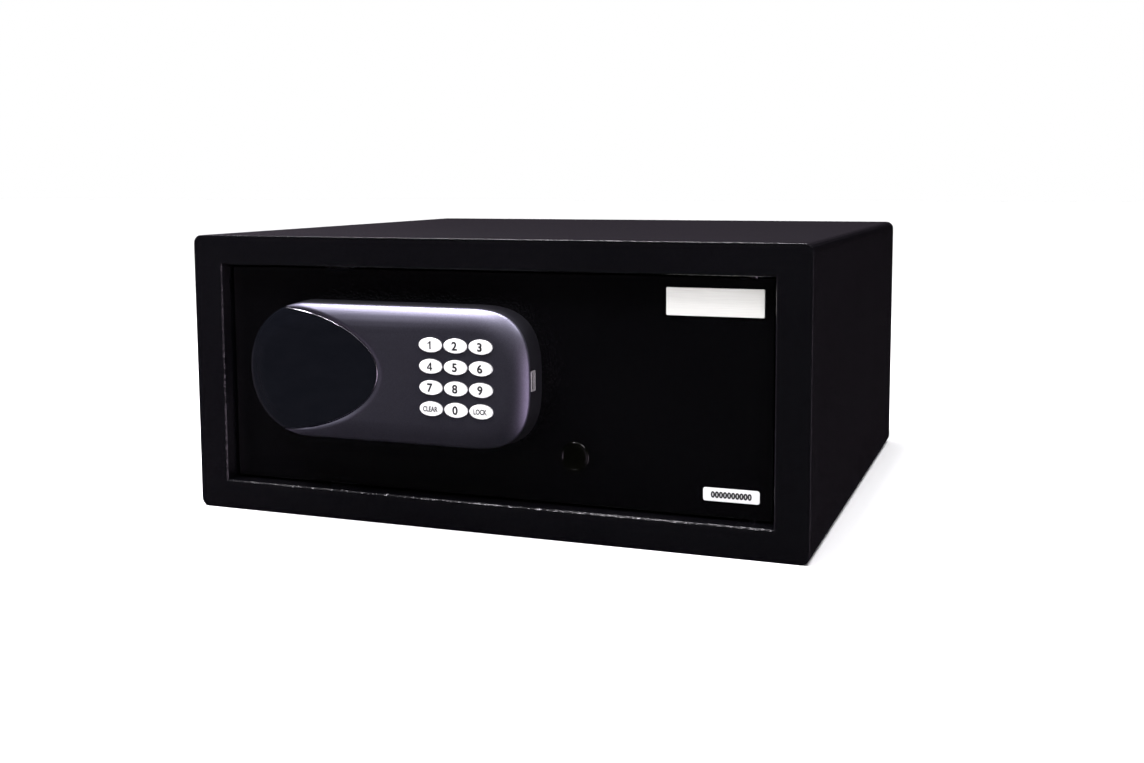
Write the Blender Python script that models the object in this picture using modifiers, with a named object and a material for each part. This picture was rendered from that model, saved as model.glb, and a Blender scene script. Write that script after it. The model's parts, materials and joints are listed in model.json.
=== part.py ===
"""In room safe: a steel cabinet with a recessed, electronically locked door.

Frame: +X to the right seen from the front, +Y from the front towards the
rear, +Z up.  The origin is the centre of the cabinet's underside.
Helper arguments are in millimetres measured as x from the centre, y back
from the front face of the cabinet and z up from the underside; P() turns
them into metres in the part's own frame.
"""
import math

import bmesh
import bpy
from mathutils import Matrix, Vector

MM = 0.001

# ---------------------------------------------------------------- dimensions
BODY_W = 450.0            # cabinet, outside
BODY_H = 200.0
BODY_D = 400.0
SHEET = 2.0               # cabinet sheet
LONG_EDGE_R = 6.0         # folded long edges
FRONT_EDGE_R = 2.6        # folded front edges
OPEN_X = 202.0            # door opening, half width
OPEN_Z0, OPEN_Z1 = 21.0, 179.0
LIP_R = 1.8               # rounded lip of the opening
FLANGE_D = 25.0           # depth of the folded return around the opening

DOOR_Y0, DOOR_Y1 = 12.0, 16.0     # recessed 4 mm door plate
DOOR_X0, DOOR_X1 = -200.0, 199.0
DOOR_Z0, DOOR_Z1 = 23.0, 177.0
HINGE_X, HINGE_Y = 185.0, 19.5    # vertical hinge axis
HINGE_PIN_R = 3.0
GAP = 0.3                         # clearance between neighbouring solids

CON_ZC = 106.8            # keypad console, centre height
CON_B = 48.3              # half height and end radius
CON_XL, CON_XR = -127.5, -6.0     # centres of the two round ends
CON_NL, CON_NR = 2.1, 2.95        # roundness exponent of the two ends
CON_WALL = 2.2
CON_FACE = -12.4          # front of the face, where the shoulder ends
CON_ARC = 23.9            # radius of the shoulder

LENS_XC, LENS_ZC, LENS_A, LENS_B, LENS_N = -155.0, 107.6, 85.3, 43.8, 1.93
LENS_DROP = 2.0           # the display window lies this much below the face
LENS_SKIRT_Y = -1.6       # the window wraps the round end down to here

KEY_X = (-28.2, -9.8, 8.6)
KEY_Z = (129.4, 115.0, 100.6, 86.2)
KEY_A, KEY_B = 8.6, 4.95  # half axes of an oval key
KEY_HOLE = 0.4            # clearance of the key in its hole
KEY_NAMES = (("key_1", "key_2", "key_3"), ("key_4", "key_5", "key_6"),
             ("key_7", "key_8", "key_9"), ("key_clear", "key_0", "key_lock"))

USB_Y, USB_Z = -1.5, 107.0        # charging port in the console's right side
LOCK_X, LOCK_Z = 66.0, 55.3       # emergency lock below the console

BOLT_Y, BOLT_R = 34.5, 8.0        # locking bolts
BOLT_Z = (146.0, 62.0)
BOLT_TIP = -198.0                 # tip of a withdrawn bolt

RACK_PITCH_Z = 98.8
GEAR_M, GEAR_N = 1.0, 14          # pinion module and teeth
GEAR_X = -85.0
GEAR_Z = RACK_PITCH_Z - GEAR_M * GEAR_N / 2 - 0.1
BACKLASH = 0.35

CELL_R, CELL_L = 7.25, 50.5       # AA cell
CELL_X = (106.3, 121.4, 136.6, 151.7)


def P(x, y, z):
    return Vector((x * MM, (y - BODY_D / 2) * MM, z * MM))


# -------------------------------------------------------------------- scene
for old in list(bpy.data.objects):
    bpy.data.objects.remove(old, do_unlink=True)

parts = bpy.data.collections.new("in_room_safe")
bpy.context.scene.collection.children.link(parts)
cutters = bpy.data.collections.new("cutters")
bpy.context.scene.collection.children.link(cutters)


def material(name, colour, roughness, metallic, alpha=1.0):
    mat = bpy.data.materials.new(name)
    mat.use_nodes = True
    bsdf = mat.node_tree.nodes["Principled BSDF"]
    bsdf.inputs["Base Color"].default_value = (*colour, 1.0)
    bsdf.inputs["Roughness"].default_value = roughness
    bsdf.inputs["Metallic"].default_value = metallic
    bsdf.inputs["Alpha"].default_value = alpha
    mat.diffuse_color = (*colour, alpha)
    return mat


POWDER = material("powder_coat_black", (0.010, 0.010, 0.013), 0.45, 0.0)
CONSOLE = material("console_plastic", (0.035, 0.034, 0.042), 0.42, 0.0)
LENS = material("smoked_window", (0.008, 0.009, 0.012), 0.12, 0.0)
KEYCAP = material("key_white", (0.88, 0.88, 0.86), 0.35, 0.0)
STEEL = material("bright_steel", (0.62, 0.62, 0.63), 0.28, 1.0)
ZINC = material("zinc_plate", (0.55, 0.56, 0.58), 0.40, 1.0)
BRASS = material("brass", (0.70, 0.52, 0.22), 0.30, 1.0)
PLATE = material("brushed_plate", (0.72, 0.74, 0.72), 0.35, 1.0)
LABEL = material("label_white", (0.90, 0.90, 0.89), 0.55, 0.0)
GLOSS = material("gloss_black_plastic", (0.012, 0.013, 0.010), 0.18, 0.0)
BLACK = material("moulded_black_plastic", (0.020, 0.020, 0.022), 0.55, 0.0)
RUBBER = material("keypad_rubber", (0.05, 0.05, 0.05), 0.75, 0.0)
FELT = material("felt_mat", (0.030, 0.030, 0.034), 0.95, 0.0)
BOARD = material("circuit_green", (0.02, 0.16, 0.07), 0.40, 0.0)
RED = material("red_plastic", (0.60, 0.02, 0.02), 0.35, 0.0)
CELL = material("cell_jacket", (0.10, 0.22, 0.12), 0.30, 0.3)
WIRE = material("cable_jacket", (0.03, 0.03, 0.03), 0.50, 0.0)


def link(obj, mat=None, cutter=False):
    if cutter:
        cutters.objects.link(obj)
        obj.hide_render = True
        obj.display_type = "WIRE"
    else:
        parts.objects.link(obj)
        obj.data.materials.clear()
        obj.data.materials.append(mat)
    return obj


def from_bmesh(name, bm, mat=None, cutter=False, centre=None):
    """Make an object from bm (metres, world) with its origin at centre."""
    if centre is None:
        lo = Vector([min(v.co[i] for v in bm.verts) for i in range(3)])
        hi = Vector([max(v.co[i] for v in bm.verts) for i in range(3)])
        centre = (lo + hi) / 2
    bmesh.ops.translate(bm, vec=-centre, verts=bm.verts)
    me = bpy.data.meshes.new(name)
    bm.to_mesh(me)
    bm.free()
    obj = bpy.data.objects.new(name, me)
    obj.location = centre
    return link(obj, mat, cutter)


def box_into(bm, x0, x1, y0, y1, z0, z1):
    a, b = P(x0, y0, z0), P(x1, y1, z1)
    m = Matrix.Translation((a + b) / 2) @ Matrix.Diagonal((*(b - a), 1.0))
    return bmesh.ops.create_cube(bm, size=1.0, matrix=m)["verts"]


def box(name, x0, x1, y0, y1, z0, z1, mat=None, cutter=False):
    bm = bmesh.new()
    box_into(bm, x0, x1, y0, y1, z0, z1)
    return from_bmesh(name, bm, mat, cutter)


AXIS_TURN = {
    "Z": Matrix.Identity(4),
    "X": Matrix.Rotation(math.radians(90), 4, "Y"),
    "Y": Matrix.Rotation(math.radians(-90), 4, "X"),
}


def cyl_into(bm, start, axis, r, length, seg=24, r2=None):
    """Cylinder or cone from start (mm) along +axis for length."""
    d = {"X": Vector((1, 0, 0)), "Y": Vector((0, 1, 0)), "Z": Vector((0, 0, 1))}[axis]
    mid = P(*start) + d * (length * MM / 2)
    bmesh.ops.create_cone(bm, cap_ends=True, cap_tris=False, segments=seg,
                          radius1=r * MM, radius2=(r if r2 is None else r2) * MM,
                          depth=length * MM,
                          matrix=Matrix.Translation(mid) @ AXIS_TURN[axis])


def cyl(name, start, axis, r, length, seg=24, mat=None, cutter=False):
    bm = bmesh.new()
    cyl_into(bm, start, axis, r, length, seg)
    obj = from_bmesh(name, bm, mat, cutter)
    if not cutter:
        smooth(obj)
    return obj


def smooth(obj, angle=35.0):
    obj.data.shade_smooth()
    obj.data.set_sharp_from_angle(angle=math.radians(angle))
    return obj


def turned(name, profile, origin, axis, steps=24, mat=None, cutter=False):
    """Screw modifier on a profile of (radius, height) points in mm."""
    me = bpy.data.meshes.new(name)
    bm = bmesh.new()
    vs = [bm.verts.new((r * MM, 0.0, h * MM)) for r, h in profile]
    for a, b in zip(vs, vs[1:]):
        bm.edges.new((a, b))
    if profile[0][0] > 0:
        bm.edges.new((vs[-1], vs[0]))
    bm.to_mesh(me)
    bm.free()
    obj = bpy.data.objects.new(name, me)
    obj.location = P(*origin)
    obj.rotation_euler = AXIS_TURN[axis].to_euler()
    link(obj, mat, cutter)
    m = obj.modifiers.new("turn", "SCREW")
    m.axis = "Z"
    m.angle = math.radians(360)
    m.steps = m.render_steps = steps
    m.use_merge_vertices = True
    m.merge_threshold = 0.00001
    m.use_smooth_shade = True
    return obj


def plate(name, outline, y0, y1, mat=None, cutter=False, holes=()):
    """A flat outline of (x, z) points, filled as a 2D curve and extruded in y."""
    cu = bpy.data.curves.new(name + "_outline", "CURVE")
    cu.dimensions = "2D"
    cu.fill_mode = "BOTH"
    cu.extrude = (y1 - y0) / 2 * MM
    for pts in (outline, *holes):
        sp = cu.splines.new("POLY")
        sp.points.add(len(pts) - 1)
        for p, (x, z) in zip(sp.points, pts):
            p.co = (x * MM, z * MM, 0.0, 1.0)
        sp.use_cyclic_u = True
    guide = bpy.data.objects.new(name + "_outline", cu)
    guide.location = P(0, (y0 + y1) / 2, 0)
    guide.rotation_euler = (math.radians(90), 0, 0)
    cutters.objects.link(guide)
    bpy.context.view_layer.update()
    deps = bpy.context.evaluated_depsgraph_get()
    me = bpy.data.meshes.new_from_object(guide.evaluated_get(deps))
    bm = bmesh.new()
    bm.from_mesh(me)
    bmesh.ops.remove_doubles(bm, verts=bm.verts, dist=1e-6)
    bmesh.ops.recalc_face_normals(bm, faces=bm.faces)
    bm.to_mesh(me)
    bm.free()
    me.name = name
    obj = bpy.data.objects.new(name, me)
    obj.matrix_world = guide.matrix_world
    bpy.data.objects.remove(guide, do_unlink=True)
    bpy.data.curves.remove(cu)
    return link(obj, mat, cutter)


def loft(name, rings, mat=None, cutter=False):
    """Skin between unlike sections: each ring is (y, [(x, z), ...]), y one or many."""
    bm = bmesh.new()
    rows = []
    for y, pts in rings:
        ys = y if isinstance(y, list) else [y] * len(pts)
        rows.append([bm.verts.new(P(x, h, z)) for (x, z), h in zip(pts, ys)])
    n = len(rows[0])
    for a, b in zip(rows, rows[1:]):
        for i in range(n):
            j = (i + 1) % n
            bm.faces.new((a[i], a[j], b[j], b[i]))
    bm.faces.new(rows[0])
    bm.faces.new(list(reversed(rows[-1])))
    bmesh.ops.recalc_face_normals(bm, faces=bm.faces)
    obj = from_bmesh(name, bm, mat, cutter)
    return obj


def boolean(obj, tool, operation="DIFFERENCE"):
    m = obj.modifiers.new(operation.lower() + "_" + tool.name, "BOOLEAN")
    m.operation = operation
    m.solver = "EXACT"
    m.object = tool
    return obj


def bevel(obj, width, segments=2, angle=40.0):
    m = obj.modifiers.new("edge_round", "BEVEL")
    m.width = width * MM
    m.segments = segments
    m.limit_method = "ANGLE"
    m.angle_limit = math.radians(angle)
    return obj


def rounded_rect(x0, x1, z0, z1, r, seg=5):
    pts = []
    for cx, cz, a0 in ((x1 - r, z1 - r, 0), (x0 + r, z1 - r, 90),
                       (x0 + r, z0 + r, 180), (x1 - r, z0 + r, 270)):
        for k in range(seg + 1):
            a = math.radians(a0 + 90 * k / seg)
            pts.append((cx + r * math.cos(a), cz + r * math.sin(a)))
    return pts


def circle(cx, cz, r, seg=24):
    return [(cx + r * math.cos(2 * math.pi * k / seg),
             cz + r * math.sin(2 * math.pi * k / seg)) for k in range(seg)]


def empty(name, at, parent=None):
    e = bpy.data.objects.new(name, None)
    e.empty_display_size = 0.02
    e.location = P(*at) - (parent.matrix_world.translation if parent else Vector())
    e.parent = parent
    bpy.context.scene.collection.objects.link(e)
    bpy.context.view_layer.update()
    return e


def carry(parent, *objs):
    """Parent objects to an empty on their joint's axis, keeping their place."""
    bpy.context.view_layer.update()
    for o in objs:
        world = o.matrix_world.copy()
        o.parent = parent
        o.matrix_parent_inverse = parent.matrix_world.inverted()
        o.matrix_world = world


# ------------------------------------------------------------------ cabinet
body = plate("body_shell",
             rounded_rect(-BODY_W / 2, BODY_W / 2, 0, BODY_H, LONG_EDGE_R, 5),
             0, BODY_D + 6, POWDER)
bevel(body, FRONT_EDGE_R, 3)
boolean(body, box("cut_rear_trim", -240, 240, BODY_D, BODY_D + 20, -10, BODY_H + 10,
                  cutter=True))
boolean(body, plate("cut_cavity",
                    rounded_rect(-BODY_W / 2 + SHEET, BODY_W / 2 - SHEET, SHEET,
                                 BODY_H - SHEET, LONG_EDGE_R - SHEET, 5),
                    SHEET, BODY_D + 12, cutter=True))
boolean(body, plate("add_flange",
                    rounded_rect(-OPEN_X - SHEET, OPEN_X + SHEET, OPEN_Z0 - SHEET,
                                 OPEN_Z1 + SHEET, 2.0, 3),
                    1.0, FLANGE_D, cutter=True,
                    holes=[rounded_rect(-OPEN_X + 3, OPEN_X - 3, OPEN_Z0 + 3,
                                        OPEN_Z1 - 3, 1.0, 2)]), "UNION")


def opening_ring(y, out):
    return (y, [(-OPEN_X - out, OPEN_Z0 - out), (OPEN_X + out, OPEN_Z0 - out),
                (OPEN_X + out, OPEN_Z1 + out), (-OPEN_X - out, OPEN_Z1 + out)])


mouth = [opening_ring(-4, LIP_R)]
for k in range(5):
    a = math.radians(90 * k / 4)
    mouth.append(opening_ring(LIP_R - LIP_R * math.cos(a), LIP_R - LIP_R * math.sin(a)))
mouth.append(opening_ring(FLANGE_D + 6, 0))
boolean(body, loft("cut_opening", mouth, cutter=True))
for tag, z in (("top", OPEN_Z1 - 3), ("bottom", OPEN_Z0 - 5)):
    boolean(body, cyl("cut_hinge_" + tag, (HINGE_X, HINGE_Y, z), "Z",
                      HINGE_PIN_R + GAP, 8, 20, cutter=True))
for tag, x in (("left", -120), ("right", 120)):
    boolean(body, cyl("cut_floor_hole_" + tag, (x, 240, -3), "Z", 5.0, 8, 20,
                      cutter=True))

rear = plate("rear_panel",
             rounded_rect(-BODY_W / 2 + SHEET + GAP, BODY_W / 2 - SHEET - GAP,
                          SHEET + GAP, BODY_H - SHEET - GAP, LONG_EDGE_R - SHEET, 5),
             BODY_D - SHEET, BODY_D, POWDER,
             holes=[circle(-120, 100, 5.0, 20), circle(120, 100, 5.0, 20)])

mat_top = SHEET + GAP + 3.0
mat = plate("floor_mat", rounded_rect(-220, 220, SHEET + GAP, mat_top, 1.0, 2),
            4, BODY_D - SHEET - 2, FELT)
for tag, x in (("left", -120), ("right", 120)):
    boolean(mat, cyl("cut_mat_" + tag, (x, 240, 0), "Z", 9.0, 8, 24, cutter=True))

# snap-in plugs that close the fixing holes: a domed head and a hollow-ended stem
PLUG = [(0, 1.8), (4.0, 1.7), (6.2, 1.1), (7.0, 0.2), (7.0, 0.0), (4.6, 0.0),
        (4.6, -1.6), (3.4, -1.6), (3.2, -0.6), (0, -0.6)]
for tag, x in (("left", -120), ("right", 120)):
    turned("floor_plug_" + tag, PLUG, (x, 240, SHEET + GAP), "Z", 20, BLACK)
    p = turned("rear_plug_" + tag, PLUG, (x, BODY_D - SHEET - GAP, 100), "Y", 20, BLACK)
    p.rotation_euler = (math.radians(90), 0, 0)

for tag, z0, z1, zf0, zf1 in (("top", 170.5, 178.7, 177.2, 178.7),
                              ("bottom", 21.3, 29.5, 21.3, 22.8)):
    stop = box("door_stop_" + tag, -125, -105, 17, 19, z0, z1, ZINC)
    boolean(stop, box("add_foot_" + tag, -125, -105, 18, 24.5, zf0, zf1, cutter=True),
            "UNION")

# --------------------------------------------------------------------- door
door_axis = empty("door_hinge_axis", (HINGE_X, HINGE_Y, 100))
door = plate("door_plate",
             rounded_rect(DOOR_X0, DOOR_X1, DOOR_Z0, DOOR_Z1, 1.2, 3),
             DOOR_Y0, DOOR_Y1, POWDER,
             holes=[circle(-108, 76, 7.0, 20), circle(LOCK_X, LOCK_Z, 9.3, 28)])
bevel(door, 0.5, 2)
carry(door_axis, door)

for tag, s in (("top", 1), ("bottom", -1)):
    # an angle bracket behind the plate carries the pin on its ear
    zm = 100.0
    ear = sorted((zm + s * 73.5, zm + s * 76.5))
    leg = sorted((zm + s * 46.0, zm + s * 76.5))
    b = box("hinge_bracket_" + tag, 174, 196, DOOR_Y1 + GAP, DOOR_Y1 + GAP + 2.5,
            leg[0], leg[1], ZINC)
    boolean(b, box("add_ear_" + tag, 174, 196, DOOR_Y1 + GAP + 1, 27,
                   ear[0], ear[1], cutter=True), "UNION")
    boolean(b, cyl("cut_ear_" + tag, (HINGE_X, HINGE_Y, ear[0] - 4), "Z",
                   HINGE_PIN_R + GAP, 11, 20, cutter=True))
    pin = turned("hinge_pin_" + tag,
                 [(0, 86.0), (2.2, 86.0), (HINGE_PIN_R, 85.2), (HINGE_PIN_R, 70.4),
                  (0, 70.4)] if s > 0 else
                 [(0, -70.4), (HINGE_PIN_R, -70.4), (HINGE_PIN_R, -85.2),
                  (2.2, -86.0), (0, -86.0)],
                 (HINGE_X, HINGE_Y, zm), "Z", 20, STEEL)
    carry(door_axis, b, pin)

# inner cover: a pressed pan over the works behind the plate
COV_X0, COV_X1, COV_Z0, COV_Z1, COV_Y1 = -190.0, 168.0, 32.0, 168.0, 56.0
cover = plate("inner_cover", rounded_rect(COV_X0, COV_X1, COV_Z0, COV_Z1, 6, 4),
              DOOR_Y1 + GAP - 6, COV_Y1, POWDER)
bevel(cover, 2.5, 2)
boolean(cover, box("cut_cover_front", -210, 200, 0, DOOR_Y1 + GAP, 10, 190, cutter=True))
boolean(cover, plate("cut_cover_inside",
                     rounded_rect(COV_X0 + 1.5, COV_X1 - 1.5, COV_Z0 + 1.5,
                                  COV_Z1 - 1.5, 4.5, 4),
                     0, COV_Y1 - 1.5, cutter=True))
bm = bmesh.new()
for z in BOLT_Z:
    cyl_into(bm, (-200, BOLT_Y, z), "X", BOLT_R + 0.4, 15, 28)
box_into(bm, 98, 160, 50, 60, 101, 157)
cyl_into(bm, (-40, 50, 140), "Y", 3.9, 10, 20)
boolean(cover, from_bmesh("cut_cover_ports", bm, cutter=True))
carry(door_axis, cover)

# bracket with two guide holes that carries the bolts close to the jamb
bb = box("bolt_bracket", -186, -184, DOOR_Y1 + GAP, 46, 44, 162, ZINC)
boolean(bb, box("add_bb_foot", -185, -170, DOOR_Y1 + GAP, DOOR_Y1 + GAP + 2, 44, 162,
                cutter=True), "UNION")
bm = bmesh.new()
for z in BOLT_Z:
    cyl_into(bm, (-190, BOLT_Y, z), "X", BOLT_R + GAP, 12, 28)
boolean(bb, from_bmesh("cut_bb_holes", bm, cutter=True))
cg = box("carriage_guide", -141, -139, DOOR_Y1 + GAP, 46, 54, 114, ZINC)
boolean(cg, box("add_cg_foot", -140, -128, DOOR_Y1 + GAP, DOOR_Y1 + GAP + 2, 54, 114,
                cutter=True), "UNION")
bm = bmesh.new()
box_into(bm, -146, -120, 29.6, 34.4, 99.6, 106.4)
box_into(bm, -146, -120, 37.6, 40.4, 62.1, 68.9)
boolean(cg, from_bmesh("cut_cg_windows", bm, cutter=True))
ag = box("arm_guide", 34, 36, DOOR_Y1 + GAP, 46, 50, 80, ZINC)
boolean(ag, box("add_ag_foot", 24, 35, DOOR_Y1 + GAP, DOOR_Y1 + GAP + 2, 50, 80,
                cutter=True), "UNION")
boolean(ag, box("cut_ag_window", 20, 50, 37.6, 40.4, 62.1, 68.9, cutter=True))
carry(door_axis, bb, cg, ag)

# gear motor: right-angle gearbox with the motor hanging below it
gb = box("gearbox", -97, -73, DOOR_Y1 + 0.6, 28.3, 80, 106, BLACK)
bevel(gb, 0.8, 1)
boolean(gb, cyl("cut_gearbox_shaft", (GEAR_X, 20, GEAR_Z), "Y", 2.0, 12, 16,
                cutter=True))
motor = turned("motor", [(0, 25), (6.0, 25), (6.0, 1.2), (5.0, 0), (0, 0)],
               (GEAR_X, 22.5, 54.5), "Z", 24, STEEL)
ctrl = box("control_board", -30, 34, 24, 25.6, 108, 156, BOARD)
boolean(ctrl, box("add_relay", -20, 0, 25, 33, 116, 130, cutter=True), "UNION")
boolean(ctrl, box("add_chip", 8, 26, 25, 28, 134, 146, cutter=True), "UNION")
boolean(ctrl, cyl("add_capacitor", (18, 25, 120), "Y", 5.0, 11, 20, cutter=True),
        "UNION")
rs = box("reset_switch", -46, -34, 40, 48.2, 134, 146, BLACK)
bevel(rs, 0.6, 1)
carry(door_axis, gb, motor, ctrl, rs)

# emergency lock: housing through the plate, nut behind it
lock_housing = turned("lock_housing",
                      [(9.0, 34.0), (9.0, 12.4), (6.2, 12.4), (6.2, 15.4), (5.8, 15.4),
                       (5.8, 34.0)],
                      (LOCK_X, 0, LOCK_Z), "Y", 28, ZINC)
nut = plate("lock_nut", circle(LOCK_X, LOCK_Z, 13.5, 6), DOOR_Y1 + GAP, 20.5, ZINC,
            holes=[circle(LOCK_X, LOCK_Z, 9.3, 28)])
carry(door_axis, lock_housing, nut)

# battery tray and four cells behind the cover's hatch
tray = box("battery_box", 97, 161, 36, 54.2, 100, 158, BLACK)
boolean(tray, box("cut_tray", 98.2, 159.8, 37.2, 60, 101.2, 156.8, cutter=True))
bm = bmesh.new()
cyl_into(bm, (92, 45, 106), "X", 2.6, 12, 14)
boolean(tray, from_bmesh("cut_tray_wire", bm, cutter=True))
carry(door_axis, tray)
for n, x in enumerate(CELL_X, 1):
    up = n % 2 == 1
    prof = [(0, 25.2), (2.6, 25.2), (2.6, 24.2), (6.4, 24.2), (CELL_R, 23.4),
            (CELL_R, -24.6), (6.6, -25.2), (0, -25.2)]
    if not up:
        prof = [(r, -h) for r, h in prof][::-1]
    carry(door_axis, turned("battery_%d" % n, prof, (x, 45.2, 129), "Z", 22, CELL))


# ------------------------------------------------------------------ console
def console_outline(inset, nl=CON_NL, nr=CON_NR, seg=20):
    r = CON_B - inset
    pts = []
    for k in range(seg + 1):
        a = math.radians(-90 + 180 * k / seg)
        c, s = math.cos(a), math.sin(a)
        pts.append((CON_XR + r * abs(c) ** (2 / nr),
                    CON_ZC + math.copysign(r * abs(s) ** (2 / nr), s)))
    for k in range(seg + 1):
        a = math.radians(90 + 180 * k / seg)
        c, s = math.cos(a), math.sin(a)
        pts.append((CON_XL - r * abs(c) ** (2 / nl),
                    CON_ZC + math.copysign(r * abs(s) ** (2 / nl), s)))
    return pts


def console_rings(shift=0.0):
    """Outer form: drafted wall, small fillet, wide round shoulder, flat face.

    shift lowers the face and shoulder and leaves the wall where it is."""
    rings = [(DOOR_Y0 - GAP, 0.0), (-5.8, 1.15), (-6.7, 1.5)]
    for deg in (38, 31, 24, 17, 10, 4, 0):
        t = math.radians(deg)
        rings.append((CON_FACE + CON_ARC * (1 - math.cos(t)), 17 - CON_ARC * math.sin(t)))
    rings += [(CON_FACE - 0.1, 28.0), (CON_FACE - 0.15, 38.0)]
    return [(y + shift * min(1.0, max(0.0, (i - 1.15) / 6.85)), i) for y, i in rings]


def inner_rings(wall, face):
    """Hollow under that form: straight wall, shoulder, flat ceiling."""
    arc = CON_ARC - (face - CON_FACE)
    curve = [(CON_FACE + CON_ARC - arc * math.cos(t), 17 - arc * math.sin(t))
             for t in map(math.radians, (40, 28, 14, 0))]
    start = (curve[0][0] + 0.9, curve[0][1] - 0.3)
    return [(DOOR_Y0 + 4, wall), start] + curve + [(face - 0.08, 30.0)]


def console_loft(name, rings, mat=None, cutter=False):
    return loft(name, [(y, console_outline(i)) for y, i in rings], mat, cutter)


def face_y(x, z, shift=0.0):
    """Height of that outer surface above the point (x, z)."""
    n = CON_NL if x < CON_XL else CON_NR
    dx = max(CON_XL - x, x - CON_XR, 0.0)
    i = CON_B - (dx ** n + abs(z - CON_ZC) ** n) ** (1 / n)
    rings = console_rings(shift)[1:]
    if i <= rings[0][1]:
        return rings[0][0]
    for (y0, i0), (y1, i1) in zip(rings, rings[1:]):
        if i <= i1:
            return y0 + (y1 - y0) * (i - i0) / (i1 - i0)
    return rings[-1][0]


def window_outline(edge, lip=0.0, reach=60.0, seg=28):
    """Window outline: right half a superellipse, left side far past the round end.

    edge widens it all round, lip widens it most at the right tip."""
    pts = []
    for k in range(seg + 1):
        t = math.radians(-90 + 180 * k / seg)
        c, s = math.cos(t), math.sin(t)
        grow = edge + lip * (0.4 + 0.6 * abs(c) ** 0.8)
        pts.append((LENS_XC + (LENS_A + grow) * abs(c) ** (2 / LENS_N),
                    LENS_ZC + math.copysign((LENS_B + grow) * abs(s) ** (2 / LENS_N), s)))
    pts += [(LENS_XC - reach, pts[-1][1]), (LENS_XC - reach, pts[0][1])]
    return pts


con = console_loft("console_housing", console_rings(), CONSOLE)
boolean(con, console_loft("cut_console_inside",
                          inner_rings(CON_WALL, CON_FACE + CON_WALL), cutter=True))
# seat of the display window: a dished band that follows the face, then a straight wall
wide, middle, tight = (window_outline(0.35, w) for w in (4.6, 2.1, 0.0))
boolean(con, loft("cut_window_seat",
                  [(-20.0, wide),
                   ([face_y(x, z) for x, z in wide], wide),
                   ([face_y(x, z, 0.62) for x, z in middle], middle),
                   ([face_y(x, z, LENS_DROP) for x, z in tight], tight),
                   (LENS_SKIRT_Y + GAP, tight)],
                  cutter=True))


def oval(cx, cz, a, b, seg=24):
    return [(cx + a * math.cos(2 * math.pi * k / seg),
             cz + b * math.sin(2 * math.pi * k / seg)) for k in range(seg)]


def add_prism(bm, pts, y0, y1):
    rows = [[bm.verts.new(P(x, y, z)) for x, z in pts] for y in (y0, y1)]
    n = len(pts)
    new = [bm.faces.new((rows[0][i], rows[0][(i + 1) % n], rows[1][(i + 1) % n],
                         rows[1][i])) for i in range(n)]
    new += [bm.faces.new(rows[0]), bm.faces.new(list(reversed(rows[1])))]
    bmesh.ops.recalc_face_normals(bm, faces=new)


bm = bmesh.new()
for z in KEY_Z:
    for x in KEY_X:
        add_prism(bm, oval(x, z, KEY_A + KEY_HOLE, KEY_B + KEY_HOLE), -20, -6)
boolean(con, from_bmesh("cut_key_holes", bm, cutter=True))
# the port's window in the right side wall
port_cut = box("cut_port", 36, 50, USB_Y - 3.4, USB_Y + 3.4, USB_Z - 7.1, USB_Z + 7.1,
               cutter=True)
boolean(con, port_cut)
carry(door_axis, con)

lens = console_loft("display_lens", console_rings(shift=LENS_DROP), LENS)
boolean(lens, loft("keep_window",
                   [(-20.0, window_outline(0.0)), (LENS_SKIRT_Y, window_outline(0.0))],
                   cutter=True), "INTERSECT")
boolean(lens, console_loft("cut_lens_inside", inner_rings(2.4, CON_FACE + LENS_DROP + 2.1),
                           cutter=True))
carry(door_axis, lens)

dm = box("display_module", -152, -96, -6.0, 3.0, 96, 120, BLACK)
bevel(dm, 0.6, 1)
pcb = plate("keypad_board", rounded_rect(-44, 22, 74, 142, 2, 2), -2.6, -1.0, BOARD)
membrane = plate("keypad_membrane", rounded_rect(-42, 20, 77, 139, 3, 3), -4.4, -3.0,
                 RUBBER)
carry(door_axis, dm, pcb, membrane)

usb = box("usb_shell", 28.5, 41.9, USB_Y - 2.95, USB_Y + 2.95, USB_Z - 6.65,
          USB_Z + 6.65, STEEL)
boolean(usb, box("cut_usb", 29.2, 50, USB_Y - 2.5, USB_Y + 2.5, USB_Z - 6.2,
                 USB_Z + 6.2, cutter=True))
tongue = box("usb_tongue", 29.5, 41.5, USB_Y - 2.1, USB_Y - 0.4, USB_Z - 5.6,
             USB_Z + 5.6, BLACK)
bevel(tongue, 0.2, 1)
carry(door_axis, usb, tongue)

# wiring from the console through the plate to the works
cu = bpy.data.curves.new("cable_loom", "CURVE")
cu.dimensions = "3D"
cu.bevel_depth = 2.0 * MM
cu.bevel_resolution = 2
cu.use_fill_caps = True
route = [Vector(v) for v in ((-92, 5.5, 90), (-104, 6, 82), (-108, 12, 76),
                             (-108, 22, 76), (-110, 30, 68), (-108, 34, 52),
                             (-92, 34, 44), (-50, 30, 41), (0, 30, 40),
                             (40, 26, 39))]


def spline_point(pts, t):
    """Catmull-Rom point at t in 0..len-1."""
    i = min(int(t), len(pts) - 2)
    u = t - i
    p0, p1, p2, p3 = (pts[max(i - 1, 0)], pts[i], pts[i + 1],
                      pts[min(i + 2, len(pts) - 1)])
    return 0.5 * ((2 * p1) + (p2 - p0) * u + (2 * p0 - 5 * p1 + 4 * p2 - p3) * u * u
                  + (3 * p1 - p0 - 3 * p2 + p3) * u ** 3)


sp = cu.splines.new("POLY")
count = 4 * (len(route) - 1) + 1
sp.points.add(count - 1)
for k in range(count):
    q = spline_point(route, k / 4)
    sp.points[k].co = (*P(q.x, q.y, q.z), 1.0)
loom = bpy.data.objects.new("cable_loom", cu)
link(loom, WIRE)
carry(door_axis, loom)

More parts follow.
